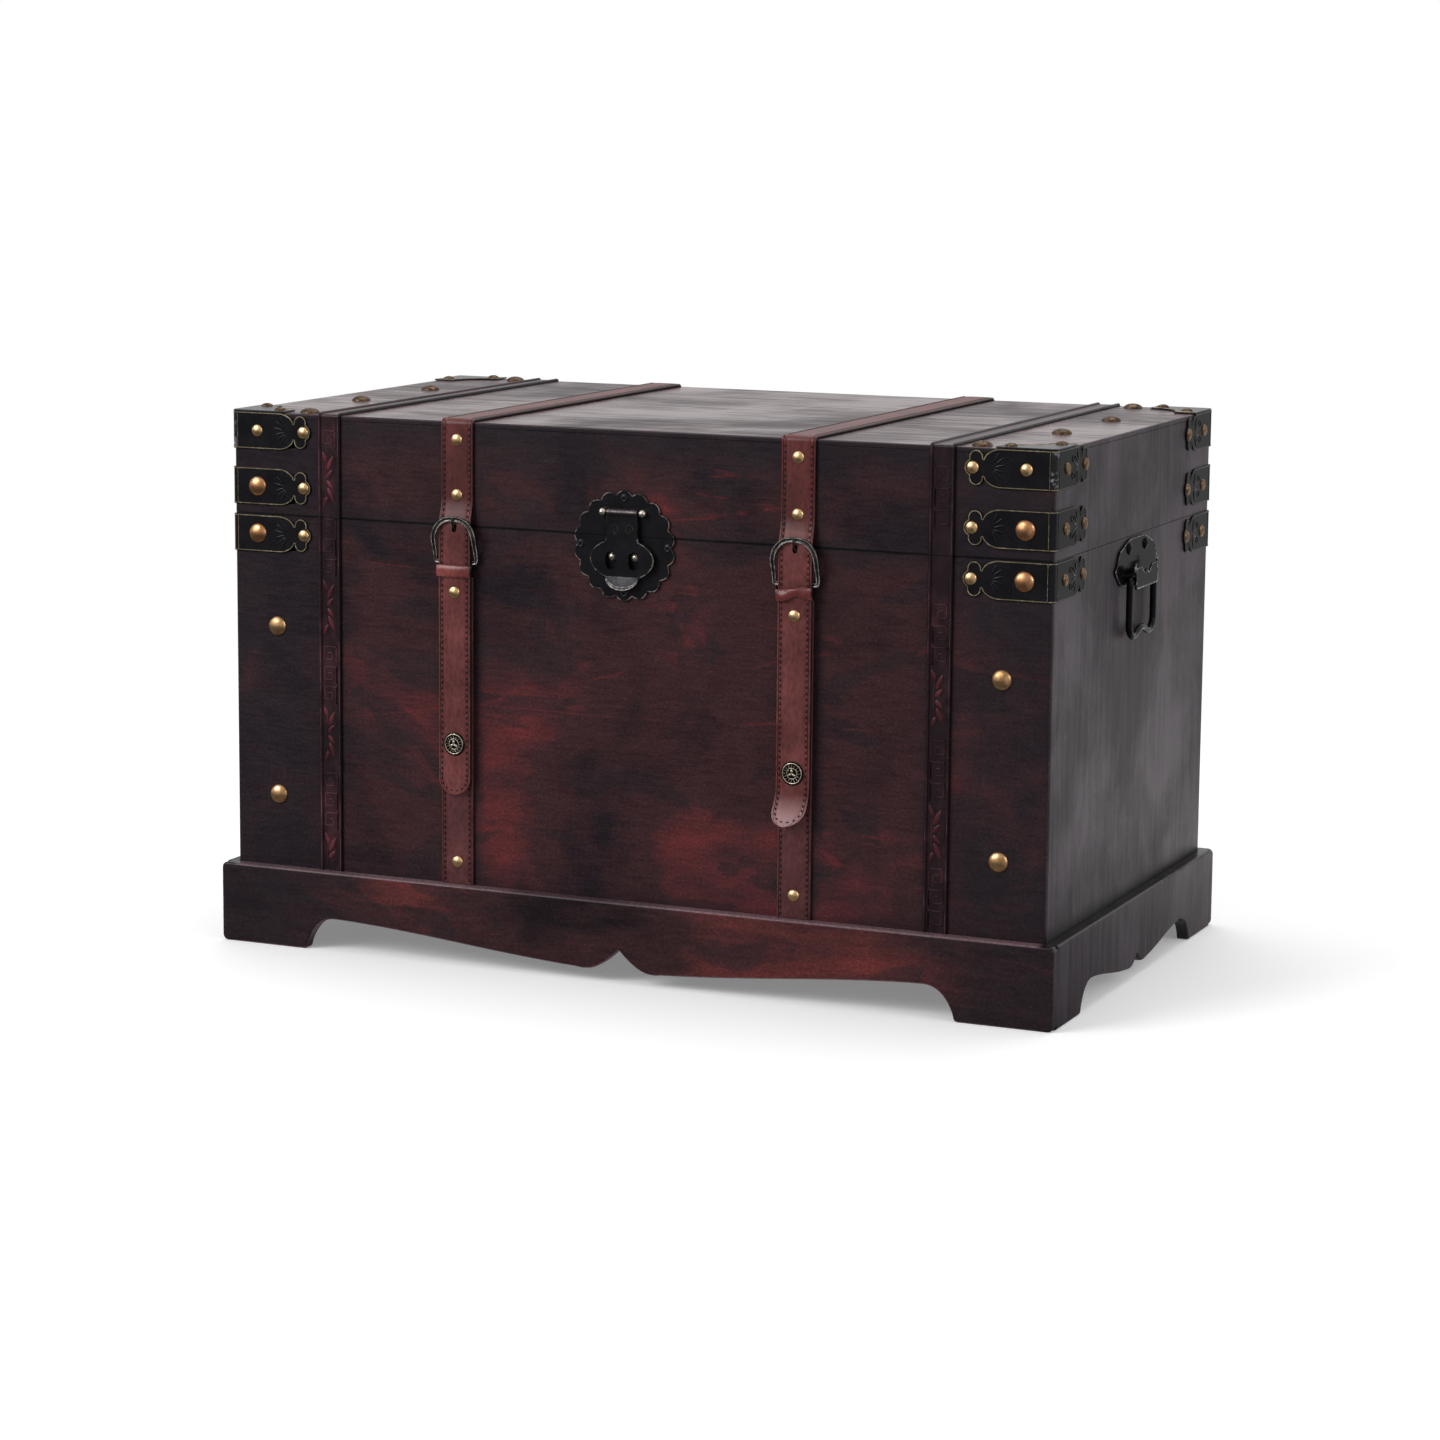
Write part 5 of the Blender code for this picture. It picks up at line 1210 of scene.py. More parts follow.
def tip_stitches(centre, curl, sway):
    """The stitches that follow the tail's rounded tip, laid on its curled face."""
    side, reach = STRAP_HALF - STITCH_INSET, TIP_REACH - STITCH_INSET
    bend = TAIL_END + TIP_REACH
    path = [(side, bend + 0.0200 - STITCH_PITCH * i, 0.0) for i in range(5)]
    for i in range(8):
        turn = math.pi * i / 7
        path.append((side * math.cos(turn), bend - reach * math.sin(turn), -turn))
    path += [(-a, b, 0.0) for a, b, _ in path[:5]]
    laid = []
    for a, z, turn in path:
        slope = math.atan(2 * curl * max(0.0, TAIL_END + CURL_REACH - z) / CURL_REACH ** 2)
        height = TAIL_BACK + LEATHER + tip_lift(z, curl)
        across = centre + tip_sway(z, sway) + a
        spot = FRONT.point(across, z, height)
        tilt = Matrix.Translation(spot) @ Matrix.Rotation(slope, 4, "X") @ Matrix.Translation(-spot)
        laid.append(copied(PATTERN["stitch"], "stitch", tilt @ FRONT.matrix(across, z, height, turn)))
    return laid


def flat_height(b):
    return ON_STRAP


def hanging_height(z):
    return strap_back(z) + LEATHER


def side_rows(centre):
    """Where the stitches run, near both edges of a strap."""
    reach = STRAP_HALF - STITCH_INSET
    return centre - reach, centre + reach


def build_case_strap(side, centre):
    low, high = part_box(f"case_strap_{side}")
    section = [(a, h + FIT) for a, h in strap_section()]
    rings = strip_rings(centre, section, low, high)
    parts = [sleeve(f"case_strap_{side}_leather", rings, LOWER_LEATHER)]
    parts.append(stud("small", "strap_nail", FRONT, centre, CASE_NAIL, ON_STRAP))
    concho_low, concho_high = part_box(f"concho_{side}")
    post = arc(centre, (concho_low.z + concho_high.z) / 2, 0.005, 0, 350, 35)
    parts.append(plate("snap_post", FRONT, post, ON_STRAP - 0.0003, TAIL_BACK - FIT, DARK_NICKEL, 0.0004))
    for a in side_rows(centre):
        parts += stitches(FRONT, a, low.z + 0.001, high.z - 0.001, flat_height)
    settle(joined(f"case_strap_{side}_piece", parts), "case", f"case_strap_{side}",
           slot="leather_oxblood")


def build_long_strap(side, centre):
    """The lid's strap and its hanging tail in one length."""
    body = f"{side}_strap_tail"
    curl, sway = TIP_CURL[side], TIP_SWAY[side]
    section = [(a, h + FIT) for a, h in strap_section()]
    rings = band_rings(centre, section, reversed(lid_stations(BOW_TOP, BACK_FOOT, 0.0020)))
    for z, h_back in tail_path(curl):
        narrow = tip_half(z) / STRAP_HALF
        shift = centre + tip_sway(z, sway)
        rings.append([FRONT.point(shift + a * narrow, z, h_back + h) for a, h in strap_section()])
    strap = sleeve(f"strap_{side}_leather", rings, LID_LEATHER)
    tail_faces(strap)
    hole_z = BUCKLE_MIDDLE + 0.0098
    outline = arc(centre, hole_z + 0.0012, 0.0018, 0, 180, 8)
    outline += arc(centre, hole_z - 0.0012, 0.0018, 180, 360, 8)
    cutter = plate("hole_cutter", FRONT, outline, 0.0, 0.012, LID_LEATHER, 0.0)
    cut_out(strap, cutter)
    parts = [strap]
    for a in side_rows(centre):
        parts += stitches(TOP, a, -HALF_DEPTH + 0.003, HALF_DEPTH - 0.003, flat_height)
        parts += stitches(BACK, -a, BACK_FOOT + 0.001, LID_TOP - 0.003, flat_height)
        parts += stitches(FRONT, a, TAIL_END + 0.034, LID_TOP - 0.003, hanging_height)
    parts += tip_stitches(centre, curl, sway)
    whole = joined(f"strap_{side}", parts)
    smooth(whole, 40)
    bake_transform(whole)
    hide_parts(f"lid_strap_{side}", f"strap_tail_{side}")
    nails = [stud("small", "lid_strap_nail", FRONT, centre, z, ON_STRAP) for z in LID_NAILS]
    settle(joined(f"lid_strap_{side}_nails", nails), "lid", slot="copper_brass", angle=60)
    nail = stud("small", f"tail_nail_{side}", FRONT, centre, TAIL_NAIL, TAIL_BACK + LEATHER)
    settle(nail, body, slot="copper_brass", angle=60)


def tail_faces(strap):
    """The tail is dyed a little lighter than the strap on the lid."""
    strap.data.materials.append(TAIL_LEATHER)
    for face in strap.data.polygons:
        if face.center.z < FLEX and face.center.y < 0:
            face.material_index = 1


# Buckle, keeper and concho

BUCKLE_LOW, BUCKLE_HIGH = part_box("buckle_right")
BUCKLE_RADIUS = (BUCKLE_HIGH.x - BUCKLE_LOW.x) / 2
BUCKLE_MIDDLE = BUCKLE_HIGH.z - BUCKLE_RADIUS
BUCKLE_FOOT = BUCKLE_LOW.z


def build_buckle(side, centre):
    """A round-topped frame, its arch on the strap and its foot behind it, with its prong."""
    radius = BUCKLE_RADIUS - 0.0020
    foot_half = STRAP_HALF + 0.0036
    foot = BUCKLE_FOOT + 0.0016
    broad, slim = 0.0020, 0.0013
    points = [(math.copysign(abs(a / radius) ** 0.82, a) * radius, b, broad)
              for a, b in arc(0.0, BUCKLE_MIDDLE, radius, 0, 180, 28)]
    left = []
    for i in range(1, 8):
        t = i / 8
        left.append((-radius + (radius - foot_half) * t ** 2.6,
                     BUCKLE_MIDDLE + (foot - BUCKLE_MIDDLE) * t, broad - (broad - slim) * t))
    corner = 0.0012
    left += [(a, b, slim) for a, b in arc(-foot_half + corner, foot + corner, corner, 180, 270, 3)]
    points += left + [(-a, b, width) for a, b, width in reversed(left)]
    low, high = foot + 0.0020, BUCKLE_MIDDLE + BUCKLE_RADIUS / 4
    path = []
    for a, b, _ in points:
        t = min(max((b - low) / (high - low), 0.0), 1.0)
        path.append(FRONT.point(centre + a, b, 0.0035 + (t * t * (3 - 2 * t)) * 0.0044))

    rim = ((-1.0, -0.2), (-0.85, 0.75), (-0.66, 1.0), (-0.45, 0.62), (0.0, 0.42), (0.45, 0.62),
           (0.66, 1.0), (0.85, 0.75), (1.0, -0.2), (0.8, -0.9), (-0.8, -0.9))

    def section(i, along):
        across = along.cross(FRONT.out).normalized()
        return [across * a * points[i][2] + FRONT.out * b * 0.0009 for a, b in rim]

    ring = bar(f"buckle_{side}_frame", path, section, BLACK_NICKEL, True)
    arch = BUCKLE_HIGH.z
    tongue = [(foot, 0.0036, 0.0009), (foot + 0.006, 0.0036, 0.0009),
              (BUCKLE_MIDDLE + 0.0072, 0.0040, 0.0010), (BUCKLE_MIDDLE + 0.0112, 0.0080, 0.0010),
              (arch - 0.0045, 0.0088, 0.0011), (arch - 0.0022, 0.0090, 0.0010),
              (arch - 0.0006, 0.0088, 0.0006)]
    spine = [FRONT.point(centre, b, h) for b, h, _ in tongue]

    def tongue_section(i, along):
        across = Vector((1, 0, 0))
        return oval(across, along.cross(across).normalized(), tongue[i][2], 0.0008, 10)

    prong = bar(f"buckle_{side}_prong", spine, tongue_section, BLACK_NICKEL)

    # Two bright lines along the frame's edges: rubbed nickel and painted highlights
    def edge_glint_section(way):
        def section(i, along):
            across = along.cross(FRONT.out).normalized()
            crest = across * way * 0.72 * points[i][2] + FRONT.out * 0.0008
            return [crest + spot for spot in oval(across, FRONT.out, 0.00034, 0.00034, 6)]

        return section

    edges = [bar("buckle_edge", path, edge_glint_section(way), RUBBED_NICKEL_AND_GLINT, True) for way in (-1, 1)]
    settle(joined(f"buckle_{side}_piece", [ring, prong, *edges]), f"{side}_strap_tail", f"buckle_{side}",
           slot="dark_nickel", angle=60)


KEEPER_TWIST = {"left": 0.0, "right": 1.0}


def build_keeper(side, centre, twist):
    """A leather loop round the tail; the right one is pinched and twisted in front."""
    low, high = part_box(f"keeper_{side}")
    half, back, front = STRAP_HALF + 0.0010, TAIL_BACK - 0.0010, TAIL_BACK + LEATHER + 0.0011
    corner = 0.0010
    loop = []
    for a, b, start in ((half - corner, front - corner, 0), (-half + corner, front - corner, 90),
                        (-half + corner, back + corner, 180), (half - corner, back + corner, 270)):
        loop += arc(a, b, corner, start, start + 90, 4)
        if start == 0:
            for i in range(1, 16):
                loop.append((half - corner - (2 * half - 2 * corner) * i / 16, front))
    middle_z, reach = (low.z + high.z) / 2, (high.z - low.z) / 2
    rings = []
    for a, h in loop:
        is_front = h > front - 0.0003
        across = a / half
        crown = 0.0011 * (1 - across * across) if is_front else 0.0
        lift = twist * 0.0016 * math.sin(2.6 * across + 0.5) if is_front else 0.0
        pinch = 1.0 - twist * 0.35 * math.exp(-((across - 0.1) / 0.35) ** 2) if is_front else 1.0
        fold = twist * 0.0009 * math.cos(5.5 * across) if is_front else 0.0
        outward = Vector((a, h - (back + front) / 2)).normalized() if not is_front else Vector((0, 1))
        ring = []
        for k in range(14):
            t = math.tau * k / 14
            z = middle_z + lift + reach * pinch * math.cos(t)
            thick = 0.0007 * math.sin(t)
            bulge = 0.0007 * (1 - math.cos(t) ** 2) if math.sin(t) > 0 else 0.0
            shift = thick + bulge + crown + fold * math.cos(t)
            ring.append(FRONT.point(centre + a + outward.x * thick, z, h + outward.y * shift))
        rings.append(ring)
    piece = sleeve(f"keeper_{side}_loop", rings, KEEPER_LEATHER, True)
    settle(piece, f"{side}_strap_tail", f"keeper_{side}", slot="leather_oxblood", angle=60)


def build_concho(side, centre):
    """A round ornament: a dark disc, a bright rim, teeth round an inner ring and a leaf rosette."""
    low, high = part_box(f"concho_{side}")
    radius, b = (high.x - low.x) / 2, (high.z + low.z) / 2
    base = TAIL_BACK + LEATHER
    top = base + 0.0009
    disc, rim, ring = (arc(centre, b, radius - less, 0, 350, 35) for less in (0.0, 0.0014, 0.0048))
    parts = [plate(f"concho_{side}_disc", FRONT, disc, base - 0.0002, top, DARK_NICKEL, 0.0004)]
    parts.append(wire("concho_rim", FRONT, rim, top, 0.0004, ANTIQUE_SILVER, True, 8))
    parts.append(wire("concho_ring", FRONT, ring, top, 0.0003, ANTIQUE_SILVER, True, 8))
    for kind, name, count, reach, first in (("bead", "concho_tooth", 16, radius - 0.0033, 0.0),
                                            ("rosette", "concho_leaf", 3, 0.0017, math.pi / 2)):
        for i in range(count):
            turn = math.tau * i / count + first
            across, up = reach * math.cos(turn), reach * math.sin(turn)
            parts.append(stud(kind, name, FRONT, centre + across, b + up, top, turn - math.pi / 2))
    settle(joined(f"concho_{side}_piece", parts), f"{side}_strap_tail", f"concho_{side}",
           slot="antique_silver", angle=50)


# Corner brackets

CASE_BRACKET_LOW, CASE_BRACKET_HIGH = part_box("case_bracket_front_right")
LID_BRACKET_LOW, LID_BRACKET_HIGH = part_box("lid_bracket_front_right")
BRACKET_HALF = (CASE_BRACKET_HIGH.z - CASE_BRACKET_LOW.z) / 2
BRACKET = 0.0010
BRACKET_OUT = FIT + BRACKET
BRACKET_LINE = 0.00036
LINE_INSET = 0.0008
FOLD = CORNER_RADIUS + BRACKET_OUT
LEG = HALF_LENGTH - CASE_BRACKET_LOW.x
TIP_LOBE = 0.0062
NAIL_REACH = 0.0205  # from the corner to the nail near it


def bracket_outline(length, half):
    """One leg about its middle line, from its fold to its three-lobed tip; a runs from the corner."""
    shoulder = length - 0.0262
    tip = length - TIP_LOBE
    lobe_a, lobe_b, lobe = tip - 0.0025, 0.0070, 0.0054
    lower = [(CORNER_RADIUS, -half), (shoulder, -half)]
    side_lobe = arc(lobe_a, -lobe_b, lobe, 158, 375, 18)
    neck_a, neck_b = side_lobe[0]
    for i in range(1, 10):
        turn = math.pi / 2 * i / 10
        a = shoulder + (neck_a - shoulder) * math.sin(turn)
        lower.append((a, -half + (half + neck_b) * (1 - math.cos(turn)) ** 0.9))
    lower += side_lobe
    end = arc(tip, 0.0, TIP_LOBE, -63, 63, 14)
    return lower + end + [(a, -b) for a, b in reversed(lower)]


def inset(points, by):
    """Points moved inwards from a closed outline that runs anticlockwise."""
    moved = []
    count = len(points)
    for i, (a, b) in enumerate(points):
        before, after = Vector(points[i - 1]), Vector(points[(i + 1) % count])
        along = (after - before).normalized()
        moved.append((a - along.y * by, b + along.x * by))
    return moved


def bracket_leg(face, corner, inward, middle_b, lined):
    """A leg plate with its rubbed edge line, and the leaves and curls pressed in before its tip.

    corner is the chest's corner along the face, and inward the way from it.
    """
    half = BRACKET_HALF

    def placed(points):
        return [(corner + inward * a, middle_b + b) for a, b in points]

    # The end-face leg is a darker, less shiny black than the front leg: painted shade
    metal = BLACK_METAL if face is FRONT else GLOSS_BLACK
    outline = bracket_outline(LEG, half)
    parts = [plate("bracket_leg", face, placed(outline), FIT, BRACKET_OUT, metal, 0.0003,
                   lambda spot: abs(spot.dot(face.u) - corner) < CORNER_RADIUS + 1e-4)]
    near, side = CORNER_RADIUS + LINE_INSET, half - LINE_INSET
    line = [(near, -side), *inset(outline, LINE_INSET)[1:-1], (near, side)]
    parts.append(wire("bracket_line", face, placed(line), BRACKET_OUT, BRACKET_LINE, lined, True))
    root = LEG - 0.0205
    for turn in (-66, -40, -14, 14, 40, 66):
        angle = math.radians(turn)
        [(a, b)] = placed([(root - 0.0062 * math.cos(angle), 0.0074 * math.sin(angle))])
        lay = math.atan2(math.sin(angle), -inward * math.cos(angle)) - math.pi / 2
        parts.append(stud("petal", "bracket_leaf", face, a, b, BRACKET_OUT, lay))
    for way in (-1, 1):
        curl = []
        for i in range(14):
            turn = 0.45 * i
            reach = 0.0036 * (1 - i / 16)
            curl.append((root - 0.0130 + reach * math.cos(turn), way * (0.0052 + reach * math.sin(turn))))
        parts.append(wire("bracket_curl", face, placed(curl), BRACKET_OUT, 0.00042, metal))
    return parts


def fold_strip(middle_b, lined, metal):
    """The rounded corner that joins a bracket's two legs at the front right corner."""
    half = BRACKET_HALF
    centre = Vector((HALF_LENGTH - CORNER_RADIUS, -HALF_DEPTH + CORNER_RADIUS, 0))
    rings, lines = [], {-1: [], 1: []}
    for i in range(7):
        turn = math.radians(-90 + 90 * i / 6)
        out = Vector((math.cos(turn), math.sin(turn), 0))
        inner, outer = centre + out * (CORNER_RADIUS + FIT), centre + out * FOLD
        rings.append([Vector((*p.xy, middle_b + b)) for p, b in
                      ((inner, -half), (outer, -half), (outer, half), (inner, half))])
        for way, run in lines.items():
            run.append(Vector((*outer.xy, middle_b + way * (half - LINE_INSET))))

    def section(i, along):
        upright = Vector((0, 0, 1))
        return oval(upright, along.cross(upright).normalized(), BRACKET_LINE, BRACKET_LINE, 6)

    edges = [bar("fold_line", run, section, lined) for run in lines.values()]
    return [sleeve("bracket_fold", rings, metal), *edges]


def bracket_at(middle_b, front_nail, top_fold=False):
    """All of a bracket at the front right corner; a cap has a fold rubbed pale, partly a painted
    highlight, and a wing on the lid top.
    """
    parts = bracket_leg(FRONT, HALF_LENGTH, -1, middle_b, AGED_LINE)
    # On the end face the brass line and nails are drawn darker: painted shade
    parts += bracket_leg(RIGHT, -HALF_DEPTH, 1, middle_b, DIM_LINE)
    parts += fold_strip(middle_b, AGED_LINE, FOLD_WEAR_AND_GLINT if top_fold else BLACK_METAL)
    legs = ((FRONT, HALF_LENGTH, -1, front_nail, "small"), (RIGHT, -HALF_DEPTH, 1, "dull", "dull"))
    for face, corner, inward, near, far in legs:
        for kind, name, a in ((near, "bracket_nail", NAIL_REACH),
                              (far, "bracket_tip_nail", LEG - TIP_LOBE)):
            parts.append(stud(kind, name, face, corner + inward * a, middle_b, BRACKET_OUT))
    if top_fold:
        parts += cap_wing()
    return parts


def cap_wing():
    """The corner cap's wing on the lid top, with a hollow inner edge and two nails."""
    leg, near = WING_LEG, 0.008
    edge = -BRACKET_OUT + 0.0003
    hollow = arc(leg, leg, leg - 2 * near, 270, 180, 16)
    outline = [(edge + 0.003, edge), (leg, edge), *hollow, (edge, leg), (edge, edge + 0.003)]
    outline += [(edge + 0.0009, edge + 0.0009)]
    placed = [(HALF_LENGTH - a, b - HALF_DEPTH) for a, b in outline]
    parts = [plate("cap_wing", TOP, placed, FIT, BRACKET_OUT, BLACK_METAL, 0.0005)]
    run = [(a - 0.0006, b - 0.0006) for a, b in hollow[1:-1]]
    run = [(leg - LINE_INSET, 0.0), *run, (0.0, leg - LINE_INSET)]
    run = [(HALF_LENGTH - a, b - HALF_DEPTH) for a, b in run]
    parts.append(wire("cap_wing_line", TOP, run, BRACKET_OUT, BRACKET_LINE, AGED_LINE))
    far = leg - near
    for a, b in ((far, near), (near, far)):
        parts.append(stud("top_small", "cap_nail", TOP, HALF_LENGTH - a, b - HALF_DEPTH, BRACKET_OUT))
    return parts


def build_brackets():
    kinds = (
        ("case_bracket", "case", (CASE_BRACKET_LOW.z + CASE_BRACKET_HIGH.z) / 2, "big", False),
        ("lid_bracket", "lid", (LID_BRACKET_LOW.z + LID_BRACKET_HIGH.z) / 2, "big", False),
        ("lid_cap", "lid", LID_TOP - BRACKET_HALF, "small", True),
    )
    for node, body, middle_b, nail, top_fold in kinds:
        model = joined(f"{node}_pattern", bracket_at(middle_b, nail, top_fold))
        for end, flip_y in (("front", 1), ("back", -1)):
            for side, flip_x in (("right", 1), ("left", -1)):
                flip = Matrix.Diagonal((flip_x, flip_y, 1, 1))
                piece = copied(model, f"{node}_{end}_{side}_metal", flip)
                settle(piece, body, f"{node}_{end}_{side}", slot="black_metal", angle=45)
        bpy.data.objects.remove(model, do_unlink=True)


# Hasp: the round plate in two halves, the flap and its pin, and the studs that the flap's slots pass over

ROUND_CENTRE = SEAM - 0.0070
ROUND = 0.0400
LOBES, LOBE_DEPTH = 18, 0.0032
SCREW_INSET = 0.0060
ROUND_TOP = FIT + SHEET
FLAP_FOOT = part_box("hasp_flap")[0].z
PIN_LOW, PIN_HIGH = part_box("hasp_pin")
HASP_AXIS = (PIN_LOW.z + PIN_HIGH.z) / 2
HASP_OUT = -HALF_DEPTH - (PIN_LOW.y + PIN_HIGH.y) / 2
FLAP_INNER = 0.0043
FLAP_OUTER = FLAP_INNER + SHEET
DISC_B = HASP_AXIS - 0.0335
DISC_HALF_WIDTH, DISC_HALF_HEIGHT = 0.0252, 0.0152
NECK = 0.0120
SLOT_APART, SLOT_HALF = 0.0090, 0.0025
SLOT_B = DISC_B - 0.0010


def round_edge(upper, by=0.0):
    """The lobed edge of one half of the round plate, from one end of the seam to the other."""
    chord = SEAM + FIT / 2 if upper else SEAM - FIT / 2
    cut = math.asin((chord - ROUND_CENTRE) / ROUND)
    start, end = (cut, math.pi - cut) if upper else (math.pi - cut, math.tau + cut)
    steps = 126 if upper else 162
    outline = []
    for i in range(steps + 1):
        turn = start + (end - start) * i / steps
        radius = ROUND - by - LOBE_DEPTH * (1 - abs(math.cos((turn - math.pi / 2) * LOBES / 2)))
        b = ROUND_CENTRE + radius * math.sin(turn)
        outline.append((radius * math.cos(turn), max(b, chord) if upper else min(b, chord)))
    return outline


def build_round_plate():
    for part, upper, body in (("upper", True, "lid"), ("lower", False, "case")):
        parts = [plate(f"round_plate_{part}", FRONT, round_edge(upper), FIT, ROUND_TOP, BLACK_METAL,
                       0.0003, lambda spot: abs(spot.z - SEAM) < 0.0008)]
        rim = [(a, b) for a, b in round_edge(upper, 0.0006) if abs(b - SEAM) > 0.0006]
        parts.append(wire("round_rim", FRONT, rim, ROUND_TOP, 0.00042, WORN_RIM))
        reach = ROUND - SCREW_INSET
        spots = [(0, ROUND_CENTRE + reach)] if upper else [
            (-reach, ROUND_CENTRE), (reach, ROUND_CENTRE), (0, ROUND_CENTRE - reach)]
        for a, b in spots:
            parts.append(stud("screw", "plate_screw", FRONT, a, b, ROUND_TOP))
        if not upper:
            for way in (-1, 1):
                rise = FLAP_INNER - FIT - ROUND_TOP
                knob = dome_head("staple_stud", 0.0032, rise, ANTIQUE_SILVER, 0.0, 20)
                knob.data.transform(FRONT.matrix(way * SLOT_APART, SLOT_B + SLOT_HALF, ROUND_TOP))
                parts.append(knob)
        settle(joined(f"round_plate_{part}_piece", parts), body, f"hasp_plate_{part}", slot="black_metal",
               angle=45)


def flap_edge(by=0.0):
    """The flap's outline: a straight neck that flares into a wide oval."""
    flat = DISC_HALF_HEIGHT / DISC_HALF_WIDTH
    radius = DISC_HALF_WIDTH - by
    join = math.degrees(math.acos(NECK / DISC_HALF_WIDTH)) + 4
    rim = [(a, DISC_B + b * flat) for a, b in arc(0.0, 0.0, radius, 180 - join, 360 + join, 44)]
    first = rim[0]
    left = [(-NECK + by, HASP_AXIS), (-NECK + by, first[1] + 0.0042), (-NECK - 0.0006, first[1] + 0.0015)]
    right = [(-a, b) for a, b in reversed(left)]
    return left + rim[1:-1] + right


def build_flap():
    outline = flap_edge()
    parts = [plate("flap_plate", FRONT, outline, FLAP_INNER, FLAP_OUTER, BLACK_METAL, 0.0003)]
    for way in (-1, 1):
        ring = arc(way * SLOT_APART, SLOT_B + SLOT_HALF, 0.0038, 0, 180, 10)
        ring += arc(way * SLOT_APART, SLOT_B - SLOT_HALF, 0.0038, 180, 360, 10)
        below, above = FLAP_INNER - 0.001, FLAP_OUTER + 0.001
        cut_out(parts[0], plate("slot_cutter", FRONT, ring, below, above, BLACK_METAL, 0.0))
        lip = inset(ring, -0.0004)
        parts.append(wire("slot_lip", FRONT, lip, FLAP_OUTER, 0.00035, BLACK_METAL, True))
    rim = inset(flap_edge(), 0.0006)
    parts.append(wire("flap_rim", FRONT, rim[2:-2], FLAP_OUTER, 0.00034, WORN_RIM))
    for way in (-1, 1):
        scroll = []
        for i in range(18):
            turn = i * 0.40
            reach = 1 - turn / 9
            scroll.append((way * (0.0055 + 0.0034 * math.cos(turn) * reach),
                           HASP_AXIS - 0.0125 + 0.0050 * math.sin(turn) * reach))
        parts.append(wire("neck_scroll", FRONT, scroll, FLAP_OUTER, 0.00036, DIM_LINE))
    knuckle = Vector((NECK, 0, 0))
    centre = Vector((0, -HALF_DEPTH - HASP_OUT, HASP_AXIS))
    parts.append(turned_bar("flap_knuckle", centre - knuckle, centre + knuckle, 0.0025, KNUCKLE_METAL))
    parts.append(build_tab())
    settle(joined("hasp_flap_piece", parts), "hasp_flap", "hasp_flap", slot="black_metal", angle=45)
    pin = turned_bar("pin_bar", centre - knuckle * 1.25, centre + knuckle * 1.25, 0.0012, DARK_NICKEL)
    parts = [pin]
    ball = 0.0028
    spread = PIN_HIGH.x - ball
    for way in (-1, 1):
        bpy.ops.mesh.primitive_uv_sphere_add(segments=24, ring_count=16, radius=ball)
        knob = added("pin_ball", ANTIQUE_SILVER)
        knob.data.transform(Matrix.Translation(centre + Vector((way * spread, 0, 0))))
        parts.append(knob)
    settle(joined("hasp_pin_piece", parts), "lid", "hasp_pin", slot="dark_nickel", angle=60)


def build_tab():
    """The half-moon thumb tab at the flap's foot, which stands a little off the plate."""
    half, drop = 0.0130, FLAP_FOOT
    top = DISC_B - DISC_HALF_HEIGHT * math.sqrt(1 - (half / DISC_HALF_WIDTH) ** 2)
    turns = [math.pi * i / 20 for i in range(21)]
    edge = [(half * math.cos(t), top + (drop - top) * math.sin(t)) for t in turns]
    outline = [*reversed(edge), (half * 0.96, top + 0.0008), (-half * 0.96, top + 0.0008)]
    inner, outer = FLAP_INNER + 0.0002, FLAP_OUTER + 0.0002
    tab = plate("thumb_tab", FRONT, outline, inner, outer, TAB_STEEL, 0.0004)
    lip = wire("thumb_tab_lip", FRONT, inset(edge[::-1], 0.0007)[1:-1], outer, 0.00055, RUBBED_NICKEL_AND_GLINT)
    fold = [(0.86 * a, top - 0.0010 + 0.62 * (b - top)) for a, b in edge[1:-1]]
    ridge = wire("thumb_tab_ridge", FRONT, fold, outer, 0.00035, RUBBED_NICKEL_AND_GLINT)
    tilt = joined("thumb_tab_piece", [tab, lip, ridge])
    for point in tilt.data.vertices:
        share = (top - point.co.z) / (top - drop)
        point.co.y -= 0.0012 * max(0.0, share)
    return tilt


def turned_bar(name, start, end, radius, material, sides=20):
    """A straight round bar with eased ends."""
    along = (end - start).normalized()
    side = along.orthogonal().normalized()
    other = along.cross(side)
    ease = along * radius * 0.25
    rings = []
    for place, share in ((start, 0.8), (start + ease, 1.0), (end - ease, 1.0), (end, 0.8)):
        rings.append([place + spot for spot in oval(side, other, radius * share, radius * share, sides)])
    return sleeve(name, rings, material)


# Side handles

HANDLE_PLATE_LOW, HANDLE_PLATE_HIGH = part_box("handle_plate_right")
BAIL_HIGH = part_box("handle_bail_right")[1]
BAIL = 0.0025
BAIL_OUT = BAIL_HIGH.x - HALF_LENGTH - BAIL
# The solid's bar has six flats, so its top lies less than a radius above the line it turns about
HANDLE_AXIS = BAIL_HIGH.z - BAIL * math.cos(math.radians(30))
EYE = BAIL + 0.0013


def handle_outline():
    """Pointed ends, swept shoulders and a broad crest over a flat foot."""
    foot, crest = HANDLE_PLATE_LOW.z, HANDLE_PLATE_HIGH.z
    half, sweep, top = HANDLE_PLATE_HIGH.y, 0.0085, 0.0125
    middle_b = (foot + crest - sweep) / 2
    right = [(0.030, foot), (0.038, foot + 0.0020)]
    right += [(half - 0.0035, middle_b - 0.0035), (half, middle_b), (half - 0.0035, middle_b + 0.0035)]
    shoulder = half - 0.006
    for i in range(1, 9):
        t = i / 8
        rise = sweep * math.sin(math.pi / 2 * t ** 1.3)
        right.append((shoulder - (shoulder - top) * t, crest - sweep + rise))
    return right + [(-a, b) for a, b in reversed(right)]


